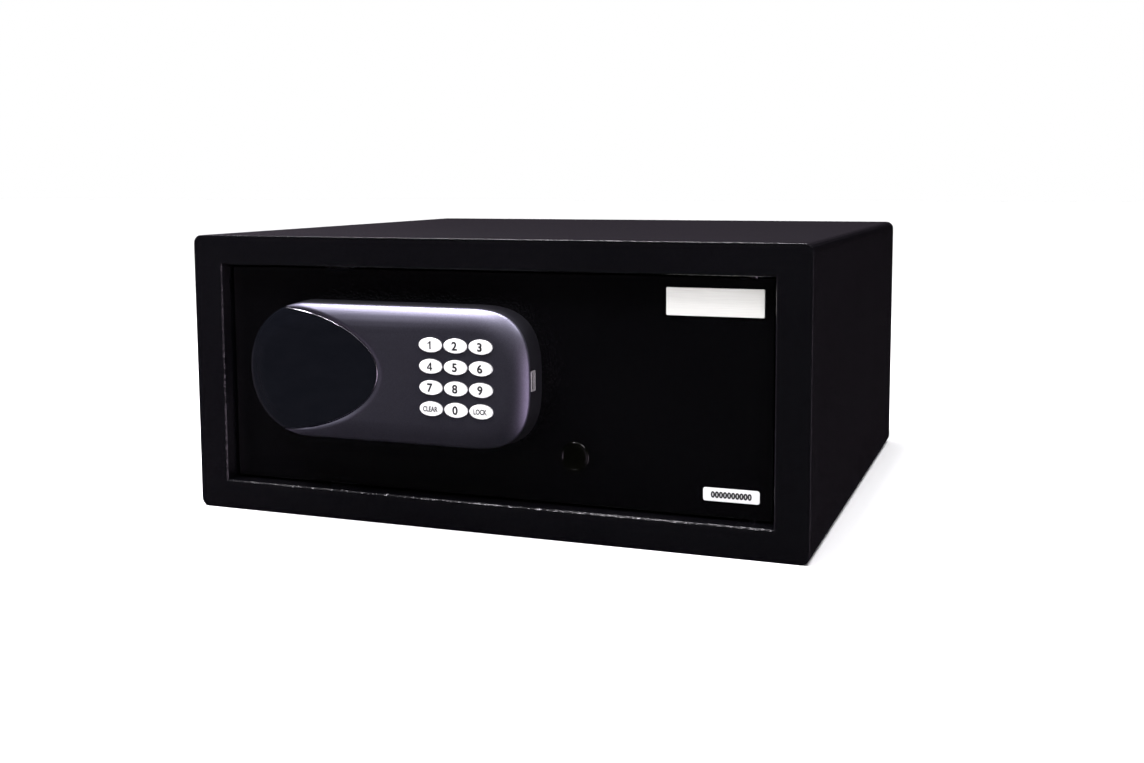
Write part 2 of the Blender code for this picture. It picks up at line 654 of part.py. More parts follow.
name_plate = plate("nameplate", rounded_rect(129, 193, 152.4, 170.4, 0.8, 2),
                   DOOR_Y0 - GAP - 0.9, DOOR_Y0 - GAP, PLATE)
bevel(name_plate, 0.2, 1)
label = plate("serial_label", rounded_rect(153.8, 190.8, 33.2, 41.9, 1.4, 3),
              DOOR_Y0 - GAP - 0.25, DOOR_Y0 - GAP, LABEL)
carry(door_axis, name_plate, label)

# ---------------------------------------------------- emergency lock, moving
lock_axis = empty("lock_core_axis", (LOCK_X, 30, LOCK_Z), door_axis)
core = turned("lock_core",
              [(0, 42.0), (2.9, 42.0), (2.9, 36.5), (5.5, 36.5), (5.5, 16.2),
               (0, 16.2)],
              (LOCK_X, 0, LOCK_Z), "Y", 24, BRASS)
boolean(core, box("cut_keyway", LOCK_X - 0.8, LOCK_X + 0.8, 10, 28, LOCK_Z - 3.6,
                  LOCK_Z + 3.6, cutter=True))
cam_pts = [(LOCK_X + 5.5 * math.cos(math.radians(a)),
            LOCK_Z + 5.5 * math.sin(math.radians(a))) for a in range(-60, 241, 15)]
cam_pts += [(LOCK_X - 2.5, LOCK_Z - 18.4), (LOCK_X - 1.9, LOCK_Z - 19.0),
            (LOCK_X + 1.9, LOCK_Z - 19.0), (LOCK_X + 2.5, LOCK_Z - 18.4)]
cam = plate("lock_cam", cam_pts, 37.4, 40.4, ZINC,
            holes=[circle(LOCK_X, LOCK_Z, 3.2, 20)])
carry(lock_axis, core, cam)

cap_axis = empty("emergency_cap_axis", (LOCK_X, 11.7, LOCK_Z), door_axis)
cap = turned("emergency_cap",
             [(0, 14.2), (4.6, 14.2), (5.0, 13.8), (5.0, 11.7), (10.2, 11.7),
              (10.2, 10.4), (9.9, 9.8), (9.2, 9.5), (8.4, 9.7), (7.6, 10.5),
              (3.5, 10.8), (0, 10.85)],
             (LOCK_X, 0, LOCK_Z), "Y", 40, GLOSS)
carry(cap_axis, cap)

# ---------------------------------------------------------- bolts and drive
bolt_axis = empty("bolt_slide_axis", (-158, BOLT_Y, 104), door_axis)
for tag, z in (("upper", BOLT_Z[0]), ("lower", BOLT_Z[1])):
    b = turned("bolt_" + tag,
               [(0, 0), (BOLT_R - 1.5, 0), (BOLT_R, -1.5),
                (BOLT_R, -(BOLT_TIP * -1 - 160.3)), (0, -(BOLT_TIP * -1 - 160.3))],
               (BOLT_TIP, BOLT_Y, z), "X", 28, STEEL)
    b.rotation_euler = (0, math.radians(-90), 0)
    carry(bolt_axis, b)

carriage = box("bolt_carriage", -160, -157, 26, 43, 50, 158, ZINC)
boolean(carriage, box("add_rack_arm", -158.5, -44, 30, 34, 100, 106, cutter=True),
        "UNION")
boolean(carriage, box("add_release_arm", -158.5, 90, 38, 40, 62.5, 68.5, cutter=True),
        "UNION")
boolean(carriage, box("add_release_lug", 87, 90, 38, 40, 40.3, 65, cutter=True),
        "UNION")


def rack_tooth(x, pitch):
    """Straight 20 degree flanks, thinned for backlash, rooted inside the arm."""
    t = math.tan(math.radians(20))
    half = pitch / 4 - BACKLASH / 2
    z_root, z_tip = RACK_PITCH_Z + 1.2, RACK_PITCH_Z - 0.7
    w_root, w_tip = half + 1.2 * t, half - 0.7 * t
    return [(x - w_root, z_root + 1.0), (x - w_root, z_root), (x - w_tip, z_tip),
            (x + w_tip, z_tip), (x + w_root, z_root), (x + w_root, z_root + 1.0)]


pitch = math.pi * GEAR_M
bm = bmesh.new()
for k in range(-3, 9):
    add_prism(bm, rack_tooth(GEAR_X + (k + 0.5) * pitch, pitch), 30, 34)
boolean(carriage, from_bmesh("add_rack_teeth", bm, cutter=True), "UNION")
carry(bolt_axis, carriage)


def involute(a):
    return math.tan(a) - a


def pinion_outline():
    """14 involute teeth, one of them pointing straight up between two rack teeth."""
    rp = GEAR_M * GEAR_N / 2
    rb = rp * math.cos(math.radians(20))
    tip, root = rp + 0.8, rp - 1.35
    half_p = math.pi / (2 * GEAR_N) - BACKLASH / (2 * rp)

    def half_at(r):
        al = math.acos(min(1.0, rb / r))
        return half_p + involute(math.radians(20)) - involute(al)

    pts = []
    for k in range(GEAR_N):
        c = math.radians(90) - 2 * math.pi * k / GEAR_N
        rows = [(root, half_at(rb) + 0.05), (rb, half_at(rb)), (rp, half_at(rp)),
                (tip, half_at(tip))]
        for r, h in rows:
            pts.append((r, c + h))
        for r, h in reversed(rows):
            pts.append((r, c - h))
    return [(GEAR_X + r * math.cos(a), GEAR_Z + r * math.sin(a)) for r, a in pts]


pinion_axis = empty("pinion_axis", (GEAR_X, 31, GEAR_Z), door_axis)
pinion = plate("pinion", pinion_outline(), 29.5, 34.5, BRASS)
boolean(pinion, cyl("add_pinion_shaft", (GEAR_X, 23, GEAR_Z), "Y", 1.6, 9, 16,
                    cutter=True), "UNION")
carry(pinion_axis, pinion)

# ------------------------------------------------- hatch, reset button, keys
hatch_axis = empty("battery_cover_axis", (129, 57, 129), door_axis)
hatch = plate("battery_cover", rounded_rect(95, 163, 98, 160, 3, 3),
              COV_Y1 + GAP, COV_Y1 + GAP + 1.8, BLACK)
bevel(hatch, 0.5, 1)
bm = bmesh.new()
for k in range(5):
    box_into(bm, 117, 141, COV_Y1 + 1.6, COV_Y1 + 3, 148 + 2.0 * k - 5,
             149 + 2.0 * k - 5)
boolean(hatch, from_bmesh("cut_hatch_grip", bm, cutter=True))
carry(hatch_axis, hatch)

reset_axis = empty("reset_button_axis", (-40, 57, 140), door_axis)
reset = turned("reset_button",
               [(0, 57.4), (2.8, 57.4), (3.5, 56.8), (3.5, 53.6), (4.8, 53.6),
                (4.8, 52.4), (3.0, 52.4), (3.0, 50.0), (0, 50.0)],
               (-40, 0, 140), "Y", 20, RED)
carry(reset_axis, reset)

KEY_PROFILE = [(0.0, 1.6), (0.55, 1.5), (0.84, 1.15), (0.96, 0.65), (1.0, 0.0),
               (1.0, -6.3), (0.0, -6.3)]


def key_mesh():
    """A domed oval key: the profile turned about -Y and squeezed to an oval."""
    bm = bmesh.new()
    seg = 24
    rings = []
    for r, h in KEY_PROFILE:
        if r == 0:
            rings.append([bm.verts.new((0, -h * MM, 0))])
        else:
            rings.append([bm.verts.new((KEY_A * r * math.cos(2 * math.pi * k / seg) * MM,
                                        -h * MM,
                                        KEY_B * r * math.sin(2 * math.pi * k / seg) * MM))
                          for k in range(seg)])
    for a, b in zip(rings, rings[1:]):
        for k in range(seg):
            j = (k + 1) % seg
            if len(a) == 1:
                bm.faces.new((a[0], b[k], b[j]))
            elif len(b) == 1:
                bm.faces.new((a[k], a[j], b[0]))
            else:
                bm.faces.new((a[k], a[j], b[j], b[k]))
    bmesh.ops.recalc_face_normals(bm, faces=bm.faces)
    me = bpy.data.meshes.new("key_form")
    bm.to_mesh(me)
    bm.free()
    me.materials.append(KEYCAP)
    me.shade_smooth()
    me.set_sharp_from_angle(angle=math.radians(50))
    return me


key_form = key_mesh()
for row, z in zip(KEY_NAMES, KEY_Z):
    for name, x in zip(row, KEY_X):
        key_axis = empty(name + "_axis", (x, CON_FACE - 0.1, z), door_axis)
        key = bpy.data.objects.new(name, key_form)
        key.location = P(x, CON_FACE - 0.1, z)
        parts.objects.link(key)
        carry(key_axis, key)

for obj in (con, lens):
    smooth(obj, 30)
bpy.context.view_layer.update()
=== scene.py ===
"""Looks of a hotel in room safe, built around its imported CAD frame."""
import json
import math

import bmesh
import bpy
import numpy as np
from mathutils import Matrix, Vector
from mathutils.geometry import tessellate_polygon

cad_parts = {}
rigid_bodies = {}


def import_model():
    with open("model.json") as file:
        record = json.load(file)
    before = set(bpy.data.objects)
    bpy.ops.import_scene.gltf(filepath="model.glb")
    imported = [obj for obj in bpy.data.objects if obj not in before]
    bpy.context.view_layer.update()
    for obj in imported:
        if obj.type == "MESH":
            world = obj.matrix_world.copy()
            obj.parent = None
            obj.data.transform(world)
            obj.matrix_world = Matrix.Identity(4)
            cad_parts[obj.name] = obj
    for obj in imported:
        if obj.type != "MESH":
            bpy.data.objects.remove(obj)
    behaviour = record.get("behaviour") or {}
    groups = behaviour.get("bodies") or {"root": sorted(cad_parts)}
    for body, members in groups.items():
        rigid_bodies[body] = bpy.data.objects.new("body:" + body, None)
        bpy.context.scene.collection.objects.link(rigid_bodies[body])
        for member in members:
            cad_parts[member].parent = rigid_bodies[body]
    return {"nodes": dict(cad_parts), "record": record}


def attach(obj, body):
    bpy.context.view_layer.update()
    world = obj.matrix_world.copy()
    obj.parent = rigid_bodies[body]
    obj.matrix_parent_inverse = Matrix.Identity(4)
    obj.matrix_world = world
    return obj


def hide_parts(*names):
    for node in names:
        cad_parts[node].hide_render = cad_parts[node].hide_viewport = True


for o in list(bpy.data.objects):
    bpy.data.objects.remove(o)

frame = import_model()
NODES, RECORD = frame["nodes"], frame["record"]
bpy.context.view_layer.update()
SLOT_OF = {s["node"]: s["material_slot"] for s in RECORD["subparts"]}
MM = 0.001


def P(x, y, z):
    """Point in the row frame from mm: x from the centre, y back from the front, z up."""
    return Vector((x * MM, (y - 200.0) * MM, z * MM))


# =================================================================== camera
cam_data = bpy.data.cameras.new("camera")
cam = bpy.data.objects.new("camera", cam_data)
bpy.context.scene.collection.objects.link(cam)
bpy.context.scene.camera = cam
right = Vector((0.9380957, 0.3463528, -0.0040173))
down = Vector((0.0297022, -0.0919928, -0.9953166))
ahead = Vector((-0.3451002, 0.9335829, -0.0965855))
turn = Matrix((right, -down, -ahead)).transposed().to_4x4()
cam.matrix_world = Matrix.Translation((0.36138, -0.96894, 0.23963)) @ turn
cam_data.sensor_fit = "HORIZONTAL"
cam_data.sensor_width = 36.0
cam_data.lens = 1273.46 / 1144 * 36
cam_data.shift_x = -0.01084
cam_data.shift_y = -0.06937
cam_data.clip_start, cam_data.clip_end = 0.02, 50
bpy.context.scene.view_settings.view_transform = "Standard"
bpy.context.scene.view_settings.look = "None"


# ================================================================ materials
class Nodes:
    """A material's tree with short helpers."""

    def __init__(self, name):
        self.mat = bpy.data.materials.new(name)
        self.mat.use_nodes = True
        self.t = self.mat.node_tree
        self.t.nodes.clear()
        out = self.t.nodes.new("ShaderNodeOutputMaterial")
        self.bsdf = self.t.nodes.new("ShaderNodeBsdfPrincipled")
        self.t.links.new(self.bsdf.outputs[0], out.inputs[0])
        self.pos = self.t.nodes.new("ShaderNodeTexCoord").outputs["Object"]

    def link(self, a, b):
        self.t.links.new(a, b)

    def put(self, node, key, value):
        if value is None:
            return
        if isinstance(value, bpy.types.NodeSocket):
            self.link(value, node.inputs[key])
        else:
            node.inputs[key].default_value = value

    def set(self, **values):
        for key, value in values.items():
            self.put(self.bsdf, key.replace("_", " "), value)
        return self

    def scaled(self, x, y, z, vec=None):
        m = self.t.nodes.new("ShaderNodeMapping")
        self.link(vec or self.pos, m.inputs["Vector"])
        m.inputs["Scale"].default_value = (x, y, z)
        return m.outputs[0]

    def noise(self, scale, detail=2.0, rough=0.5, vec=None, distortion=0.0):
        n = self.t.nodes.new("ShaderNodeTexNoise")
        self.link(vec or self.pos, n.inputs["Vector"])
        n.inputs["Scale"].default_value = scale
        n.inputs["Detail"].default_value = detail
        n.inputs["Roughness"].default_value = rough
        n.inputs["Distortion"].default_value = distortion
        return n.outputs["Fac"]

    def cells(self, scale, vec=None, feature="F1", smooth=None, out="Distance"):
        n = self.t.nodes.new("ShaderNodeTexVoronoi")
        self.link(vec or self.pos, n.inputs["Vector"])
        n.feature = feature
        n.inputs["Scale"].default_value = scale
        if smooth is not None:
            n.inputs["Smoothness"].default_value = smooth
        return n.outputs[out]

    def wave(self, scale, axis="Z", distortion=0.0, vec=None, profile="SIN"):
        n = self.t.nodes.new("ShaderNodeTexWave")
        self.link(vec or self.pos, n.inputs["Vector"])
        n.bands_direction = axis
        n.wave_profile = profile
        n.inputs["Scale"].default_value = scale
        n.inputs["Distortion"].default_value = distortion
        return n.outputs["Fac"]

    def math(self, op, a, b=None, c=None, clamp=False):
        n = self.t.nodes.new("ShaderNodeMath")
        n.operation = op
        n.use_clamp = clamp
        for i, v in enumerate((a, b, c)):
            self.put(n, i, v)
        return n.outputs[0]

    def span(self, fac, lo, hi, a=0.0, b=1.0):
        n = self.t.nodes.new("ShaderNodeMapRange")
        self.link(fac, n.inputs["Value"])
        for key, v in (("From Min", a), ("From Max", b), ("To Min", lo), ("To Max", hi)):
            n.inputs[key].default_value = v
        return n.outputs[0]

    def ramp(self, fac, *stops):
        n = self.t.nodes.new("ShaderNodeValToRGB")
        self.link(fac, n.inputs["Fac"])
        e = n.color_ramp.elements
        while len(e) < len(stops):
            e.new(0.5)
        for el, (at, col) in zip(e, stops):
            el.position = at
            el.color = (*col, 1.0) if len(col) == 3 else col
        return n.outputs["Color"]

    def mix(self, fac, a, b, mode="MIX"):
        n = self.t.nodes.new("ShaderNodeMix")
        n.data_type = "RGBA"
        n.blend_type = mode
        n.clamp_factor = True
        self.put(n, 0, fac)
        for i, v in ((6, a), (7, b)):
            if isinstance(v, bpy.types.NodeSocket):
                self.link(v, n.inputs[i])
            else:
                n.inputs[i].default_value = (*v, 1.0)
        return n.outputs[2]

    def bump(self, height, strength, distance, normal=None):
        n = self.t.nodes.new("ShaderNodeBump")
        self.link(height, n.inputs["Height"])
        n.inputs["Strength"].default_value = strength
        n.inputs["Distance"].default_value = distance
        if normal is not None:
            self.link(normal, n.inputs["Normal"])
        return n.outputs[0]

    def edges(self, radius):
        """0 on flats to 1 on edges, from the rounded normal against the true one."""
        b = self.t.nodes.new("ShaderNodeBevel")
        b.samples = 4
        b.inputs["Radius"].default_value = radius
        g = self.t.nodes.new("ShaderNodeNewGeometry")
        d = self.t.nodes.new("ShaderNodeVectorMath")
        d.operation = "DOT_PRODUCT"
        self.link(b.outputs[0], d.inputs[0])
        self.link(g.outputs["Normal"], d.inputs[1])
        return self.span(d.outputs["Value"], 1.0, 0.0, 0.80, 0.995)


def powder_coat(name="powder_coat", k=1.0):
    """Textured black powder coat: beads over a millimetre across with finer grain on top."""
    m = Nodes(name)
    peel = m.noise(600, 1.0, 0.45)
    bead = m.cells(760, feature="SMOOTH_F1", smooth=0.6)
    dust = m.noise(3000, 2.0, 0.6)
    height = m.math("ADD", m.math("MULTIPLY", peel, 1.0),
                    m.math("ADD", m.math("MULTIPLY", bead, -0.25),
                           m.math("MULTIPLY", dust, 0.03)))
    wide = m.noise(9, 3.0, 0.55)
    # k scales the base colour; the cabinet's copy uses it as painted light against the door's
    # shaded copy
    base = m.mix(m.span(dust, 0, 1, 0.35, 0.7), (0.0004 * k, 0.0004 * k, 0.0006 * k),
                 (0.0012 * k, 0.0011 * k, 0.0017 * k))
    base = m.mix(m.span(wide, 0.0, 0.30, 0.3, 0.8), base,
                 (0.0015 * k, 0.0014 * k, 0.0020 * k))
    m.set(Base_Color=base, Roughness=m.span(wide, 0.225, 0.25, 0.3, 0.7),
          Normal=m.bump(height, 1.0, 0.00042))
    m.bsdf.inputs["Specular IOR Level"].default_value = 0.55
    return m.mat


def console_plastic():
    """Dark metallic paint on the moulding: satin, with fine flakes and an eroded texture."""
    m = Nodes("console_paint")
    fine = m.noise(2800, 3.0, 0.6)
    flake = m.cells(2600, out="Color")
    bw = m.t.nodes.new("ShaderNodeRGBToBW")
    m.link(flake, bw.inputs[0])
    wide = m.noise(22, 3.0, 0.5)
    base = m.mix(bw.outputs[0], (0.146, 0.142, 0.186), (0.202, 0.198, 0.252))
    base = m.mix(m.span(wide, 0.0, 0.30, 0.4, 0.75), base, (0.157, 0.153, 0.190))
    m.set(Base_Color=base, Roughness=m.span(wide, 0.415, 0.46, 0.3, 0.7),
          Normal=m.bump(fine, 0.12, 0.00008))
    m.bsdf.inputs["Metallic"].default_value = 0.97
    return m.mat


def smoked_window(name="smoked_window", level=0.06):
    """Smoked acrylic: near black, faint smears; its rounded rim is the polished one."""
    m = Nodes(name)
    smear = m.noise(60, 4.0, 0.6, m.scaled(1, 1, 2.5))
    base = m.mix(m.span(smear, 0, 1, 0.35, 0.75), (0.0026, 0.0029, 0.0042),
                 (0.0033, 0.0036, 0.0051))
    m.set(Base_Color=base, Roughness=m.span(smear, 0.12, 0.20, 0.3, 0.75),
          Normal=m.bump(m.noise(14, 1.0, 0.4), 0.03, 0.0004))
    m.bsdf.inputs["Specular IOR Level"].default_value = level
    return m.mat


def key_plastic():
    m = Nodes("key_plastic")
    fine = m.noise(2400, 3.0, 0.6)
    rub = m.noise(240, 2.0, 0.5)
    base = m.mix(m.span(rub, 0, 1, 0.3, 0.75), (0.60, 0.60, 0.595), (0.56, 0.56, 0.55))
    m.set(Base_Color=base, Roughness=m.span(rub, 0.30, 0.42, 0.3, 0.7),
          Normal=m.bump(fine, 0.08, 0.00006))
    return m.mat


def ink():
    m = Nodes("key_ink")
    worn = m.noise(1600, 4.0, 0.65)
    m.set(Base_Color=m.mix(m.span(worn, 0, 1, 0.45, 0.8), (0.006, 0.006, 0.008),
                           (0.016, 0.016, 0.018)),
          Roughness=m.span(worn, 0.40, 0.6, 0.3, 0.7),
          Normal=m.bump(worn, 0.05, 0.00003))
    return m.mat


def black_plastic(name="black_plastic", gloss=False):
    m = Nodes(name)
    fine = m.noise(1900, 3.0, 0.6)
    pits = m.cells(2300, feature="SMOOTH_F1", smooth=0.5)
    wide = m.noise(40, 3.0, 0.5)
    if gloss:
        base = m.mix(m.span(wide, 0, 1, 0.3, 0.75), (0.0003, 0.0004, 0.0002),
                     (0.0011, 0.0012, 0.0005))
        m.set(Base_Color=base, Roughness=m.span(wide, 0.12, 0.20, 0.3, 0.7),
              Normal=m.bump(wide, 0.05, 0.0002))
    else:
        base = m.mix(m.span(fine, 0, 1, 0.3, 0.7), (0.012, 0.012, 0.013),
                     (0.024, 0.024, 0.026))
        m.set(Base_Color=base, Roughness=m.span(wide, 0.45, 0.60, 0.3, 0.7),
              Normal=m.bump(pits, 0.22, 0.00012))
    return m.mat


def skirt_plastic():
    m = Nodes("skirt_plastic")
    fine = m.noise(1900, 3.0, 0.6)
    m.set(Base_Color=m.mix(m.span(fine, 0, 1, 0.3, 0.7), (0.0052, 0.0050, 0.0074),
                           (0.0088, 0.0084, 0.0118)),
          Roughness=m.span(fine, 0.44, 0.54, 0.3, 0.7), Normal=m.bump(fine, 0.12, 0.0001))
    return m.mat


def rubber():
    m = Nodes("keypad_rubber")
    fine = m.noise(1400, 4.0, 0.6)
    m.set(Base_Color=m.mix(m.span(fine, 0, 1, 0.3, 0.7), (0.030, 0.030, 0.031),
                           (0.055, 0.055, 0.056)),
          Roughness=m.span(fine, 0.62, 0.78, 0.3, 0.7), Normal=m.bump(fine, 0.2, 0.0001))
    return m.mat


def steel(name, lo, hi, rough, along=(1, 60, 60), wear=True, tint=None):
    """Drawn or ground metal: streaks along one axis, brighter worn edges."""
    m = Nodes(name)
    streak = m.noise(28, 5.0, 0.65, m.scaled(*along))
    cloud = m.noise(45, 3.0, 0.6)
    fac = m.math("ADD", m.math("MULTIPLY", streak, 0.6), m.math("MULTIPLY", cloud, 0.4))
    base = m.mix(m.span(fac, 0, 1, 0.3, 0.7), lo, hi)
    if tint:
        base = m.mix(m.span(m.noise(110, 4.0, 0.6), 0, 0.35, 0.45, 0.75), base, tint)
    r = m.span(fac, rough[0], rough[1], 0.3, 0.7)
    if wear:
        e = m.edges(0.0006)
        base = m.mix(m.math("MULTIPLY", e, 0.5), base, (0.80, 0.80, 0.80))
    m.set(Base_Color=base, Roughness=r, Normal=m.bump(streak, 0.10, 0.0001))
    m.bsdf.inputs["Metallic"].default_value = 1.0
    return m.mat


def zinc():
    """Bright zinc plate on pressed steel, with the crystal flowers faintly seen."""
    m = Nodes("zinc_plate")
    flower = m.cells(260, out="Color")
    bw = m.t.nodes.new("ShaderNodeRGBToBW")
    m.link(flower, bw.inputs[0])
    cloud = m.noise(90, 4.0, 0.6)
    base = m.mix(bw.outputs[0], (0.40, 0.42, 0.44), (0.62, 0.64, 0.66))
    base = m.mix(m.span(cloud, 0.0, 0.45, 0.4, 0.75), base, (0.50, 0.49, 0.46))
    e = m.edges(0.0005)
    base = m.mix(m.math("MULTIPLY", e, 0.5), base, (0.80, 0.80, 0.80))
    m.set(Base_Color=base, Roughness=m.span(bw.outputs[0], 0.28, 0.42),
          Normal=m.bump(cloud, 0.12, 0.0002))
    m.bsdf.inputs["Metallic"].default_value = 1.0
    return m.mat


def brass():
    m = Nodes("turned_brass")
    ring = m.noise(40, 4.0, 0.6, m.scaled(4, 60, 4))
    spot = m.noise(300, 3.0, 0.6)
    base = m.mix(m.span(ring, 0, 1, 0.3, 0.7), (0.60, 0.42, 0.16), (0.78, 0.60, 0.28))
    base = m.mix(m.span(spot, 0.0, 0.3, 0.5, 0.8), base, (0.36, 0.24, 0.10))
    m.set(Base_Color=base, Roughness=m.span(ring, 0.24, 0.38, 0.3, 0.7),
          Normal=m.bump(ring, 0.08, 0.0001))
    m.bsdf.inputs["Metallic"].default_value = 1.0
    return m.mat


def plate_metal():
    """Brushed aluminium face: hair lines along X, with soft bands of painted light, a brighter base
    colour standing in for reflections.
    """
    m = Nodes("brushed_plate")
    hair = m.noise(40, 5.0, 0.7, m.scaled(1, 1, 110))
    band = m.noise(18, 2.0, 0.5, m.scaled(1, 1, 0.2))
    base = m.mix(m.span(hair, 0, 1, 0.3, 0.7), (0.62, 0.628, 0.595), (0.765, 0.775, 0.73))
    # painted light: the band noise lifts the base colour into soft brighter bands that stand in for
    # reflections
    base = m.mix(m.span(band, 0.0, 0.3, 0.35, 0.7), base, (0.84, 0.81, 0.755))
    m.set(Base_Color=base, Roughness=m.span(hair, 0.36, 0.50, 0.3, 0.7),
          Normal=m.bump(hair, 0.10, 0.00005))
    m.bsdf.inputs["Metallic"].default_value = 0.25
    return m.mat


def label_film():
    m = Nodes("label_film")
    fibre = m.noise(700, 4.0, 0.6)
    m.set(Base_Color=m.mix(m.span(fibre, 0, 1, 0.3, 0.75), (0.63, 0.63, 0.625),
                           (0.575, 0.575, 0.57)),
          Roughness=m.span(fibre, 0.42, 0.55, 0.3, 0.7), Normal=m.bump(fibre, 0.06, 0.00004))
    return m.mat


def felt():
    m = Nodes("needle_felt")
    v = m.scaled(1, 1, 1)
    tuft = m.noise(420, 6.0, 0.75, v, 1.2)
    thread = m.noise(1700, 4.0, 0.7, v, 2.5)
    h = m.math("ADD", m.math("MULTIPLY", tuft, 0.7), m.math("MULTIPLY", thread, 0.5))
    base = m.mix(m.span(thread, 0, 1, 0.35, 0.7), (0.030, 0.030, 0.034),
                 (0.125, 0.125, 0.135))
    base = m.mix(m.span(m.noise(12, 3.0, 0.5), 0, 0.4, 0.35, 0.75), base,
                 (0.090, 0.090, 0.098))
    m.set(Base_Color=base, Roughness=m.span(tuft, 0.85, 1.0, 0.3, 0.7),
          Normal=m.bump(h, 0.8, 0.0009))
    m.bsdf.inputs["Sheen Weight"].default_value = 0.35
    m.bsdf.inputs["Sheen Roughness"].default_value = 0.5
    return m.mat


def circuit():
    """Green solder mask with copper tracks showing through it."""
    m = Nodes("solder_mask")
    track = m.cells(170, m.scaled(1, 1, 1), "DISTANCE_TO_EDGE")
    line = m.span(track, 1.0, 0.0, 0.02, 0.06)
    haze = m.noise(400, 3.0, 0.5)
    base = m.mix(line, (0.010, 0.095, 0.035), (0.030, 0.20, 0.075))
    base = m.mix(m.span(haze, 0, 0.25, 0.4, 0.8), base, (0.008, 0.07, 0.03))
    m.set(Base_Color=base, Roughness=m.span(haze, 0.25, 0.38, 0.3, 0.7),
          Normal=m.bump(line, 0.25, 0.00005))
    return m.mat


def red_plastic():
    m = Nodes("red_plastic")
    fine = m.noise(900, 3.0, 0.6)
    m.set(Base_Color=m.mix(m.span(fine, 0, 1, 0.3, 0.7), (0.52, 0.012, 0.012),
                           (0.64, 0.030, 0.024)),
          Roughness=m.span(fine, 0.26, 0.36, 0.3, 0.7), Normal=m.bump(fine, 0.05, 0.00005))
    return m.mat


def cell_jacket():
    """A plain cell sleeve: dark body and a bare metal collar near its button end."""
    m = Nodes("cell_jacket")
    sep = m.t.nodes.new("ShaderNodeSeparateXYZ")
    m.link(m.pos, sep.inputs[0])
    fine = m.noise(600, 3.0, 0.6)
    band = m.math("GREATER_THAN", sep.outputs[2], 0.1455)
    base = m.mix(m.span(fine, 0, 1, 0.3, 0.7), (0.055, 0.13, 0.07), (0.075, 0.17, 0.09))
    base = m.mix(band, base, (0.60, 0.42, 0.20))
    m.set(Base_Color=base, Roughness=m.span(fine, 0.22, 0.34, 0.3, 0.7),
          Normal=m.bump(fine, 0.04, 0.00005))
    return m.mat


def cable():
    m = Nodes("cable_jacket")
    fine = m.noise(1500, 3.0, 0.6)
    m.set(Base_Color=m.mix(m.span(fine, 0, 1, 0.3, 0.7), (0.016, 0.016, 0.017),
                           (0.032, 0.032, 0.034)),
          Roughness=m.span(fine, 0.45, 0.6, 0.3, 0.7), Normal=m.bump(fine, 0.1, 0.0001))
    return m.mat


MAT = {
    "powder_coat": powder_coat(), "console": console_plastic(), "window": smoked_window(),
    "keycap": key_plastic(),
    "bright_steel": steel("bright_steel", (0.50, 0.50, 0.51), (0.72, 0.72, 0.73),
                          (0.14, 0.26), (1, 40, 40)),
    "zinc": zinc(), "brass": brass(), "name_metal": plate_metal(), "label": label_film(),
    "gloss_black": black_plastic("gloss_black", True), "black_plastic": black_plastic(),
    "keypad_rubber": rubber(), "felt": felt(), "circuit": circuit(),
    "red_plastic": red_plastic(), "cell_jacket": cell_jacket(), "cable": cable(),
}
INK = ink()
SKIRT_MAT = skirt_plastic()
RIM = steel("polished_rim", (0.52, 0.51, 0.56), (0.60, 0.59, 0.64), (0.16, 0.22),
            (20, 20, 20), wear=False)


def port_metal():
    """Nickel shell of the charging port, and the pale insulator tongue inside it."""
    m = Nodes("nickel_shell")
    sep = m.t.nodes.new("ShaderNodeSeparateXYZ")
    m.link(m.pos, sep.inputs[0])
    y, z = sep.outputs[1], sep.outputs[2]
    inside = m.math("MULTIPLY", m.math("LESS_THAN", m.math("ABSOLUTE",
                                                           m.math("ADD", y, 0.20275)), 0.00105),
                    m.math("LESS_THAN", m.math("ABSOLUTE", m.math("SUBTRACT", z, 0.107)),
                           0.0061))
    fine = m.noise(900, 3.0, 0.6)
    base = m.mix(m.span(fine, 0, 1, 0.3, 0.7), (0.44, 0.40, 0.43), (0.56, 0.52, 0.55))
    base = m.mix(inside, base, (0.86, 0.84, 0.92))
    m.set(Base_Color=base, Roughness=m.span(fine, 0.26, 0.40, 0.3, 0.7),
          Metallic=m.math("MULTIPLY", m.math("SUBTRACT", 1.0, inside), 0.55),
          Normal=m.bump(fine, 0.06, 0.00005))
    return m.mat


OWN = {"usb_shell": port_metal()}
# painted light and shade: the body and rear panel take a copy of the door's coat with a base colour
# 2.1 times lighter, so one paint shows as a lit copy on the cabinet and a shaded copy on the door
OWN["body_shell"] = OWN["rear_panel"] = powder_coat("powder_coat_cabinet_painted_lighter", 2.1)

for name, node in NODES.items():
    node.data.materials.clear()
    node.data.materials.append(OWN.get(name, MAT[SLOT_OF[name]]))


# ============================================================= mesh helpers
def add(name, bm, mat, body, sharp=35.0):
    bmesh.ops.recalc_face_normals(bm, faces=bm.faces)
    me = bpy.data.meshes.new(name)
    bm.to_mesh(me)
    bm.free()
    me.materials.append(mat)
    me.shade_smooth()
    if sharp:
        me.set_sharp_from_angle(angle=math.radians(sharp))
    o = bpy.data.objects.new(name, me)
    bpy.context.scene.collection.objects.link(o)
    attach(o, body)
    return o


def strip(bm, rows, close=True):
    """Quads between rings of the same length; returns the rings' vertices."""
    vs = [[bm.verts.new(p) for p in row] for row in rows]
    n = len(vs[0])
    for a, b in zip(vs, vs[1:]):
        for i in range(n if close else n - 1):
            j = (i + 1) % n
            bm.faces.new((a[i], a[j], b[j], b[i]))
    return vs


def lofted(rows, cap0=True, cap1=True):
    bm = bmesh.new()
    vs = strip(bm, rows)
    if cap0:
        bm.faces.new(vs[0])
    if cap1:
        bm.faces.new(list(reversed(vs[-1])))
    return bm


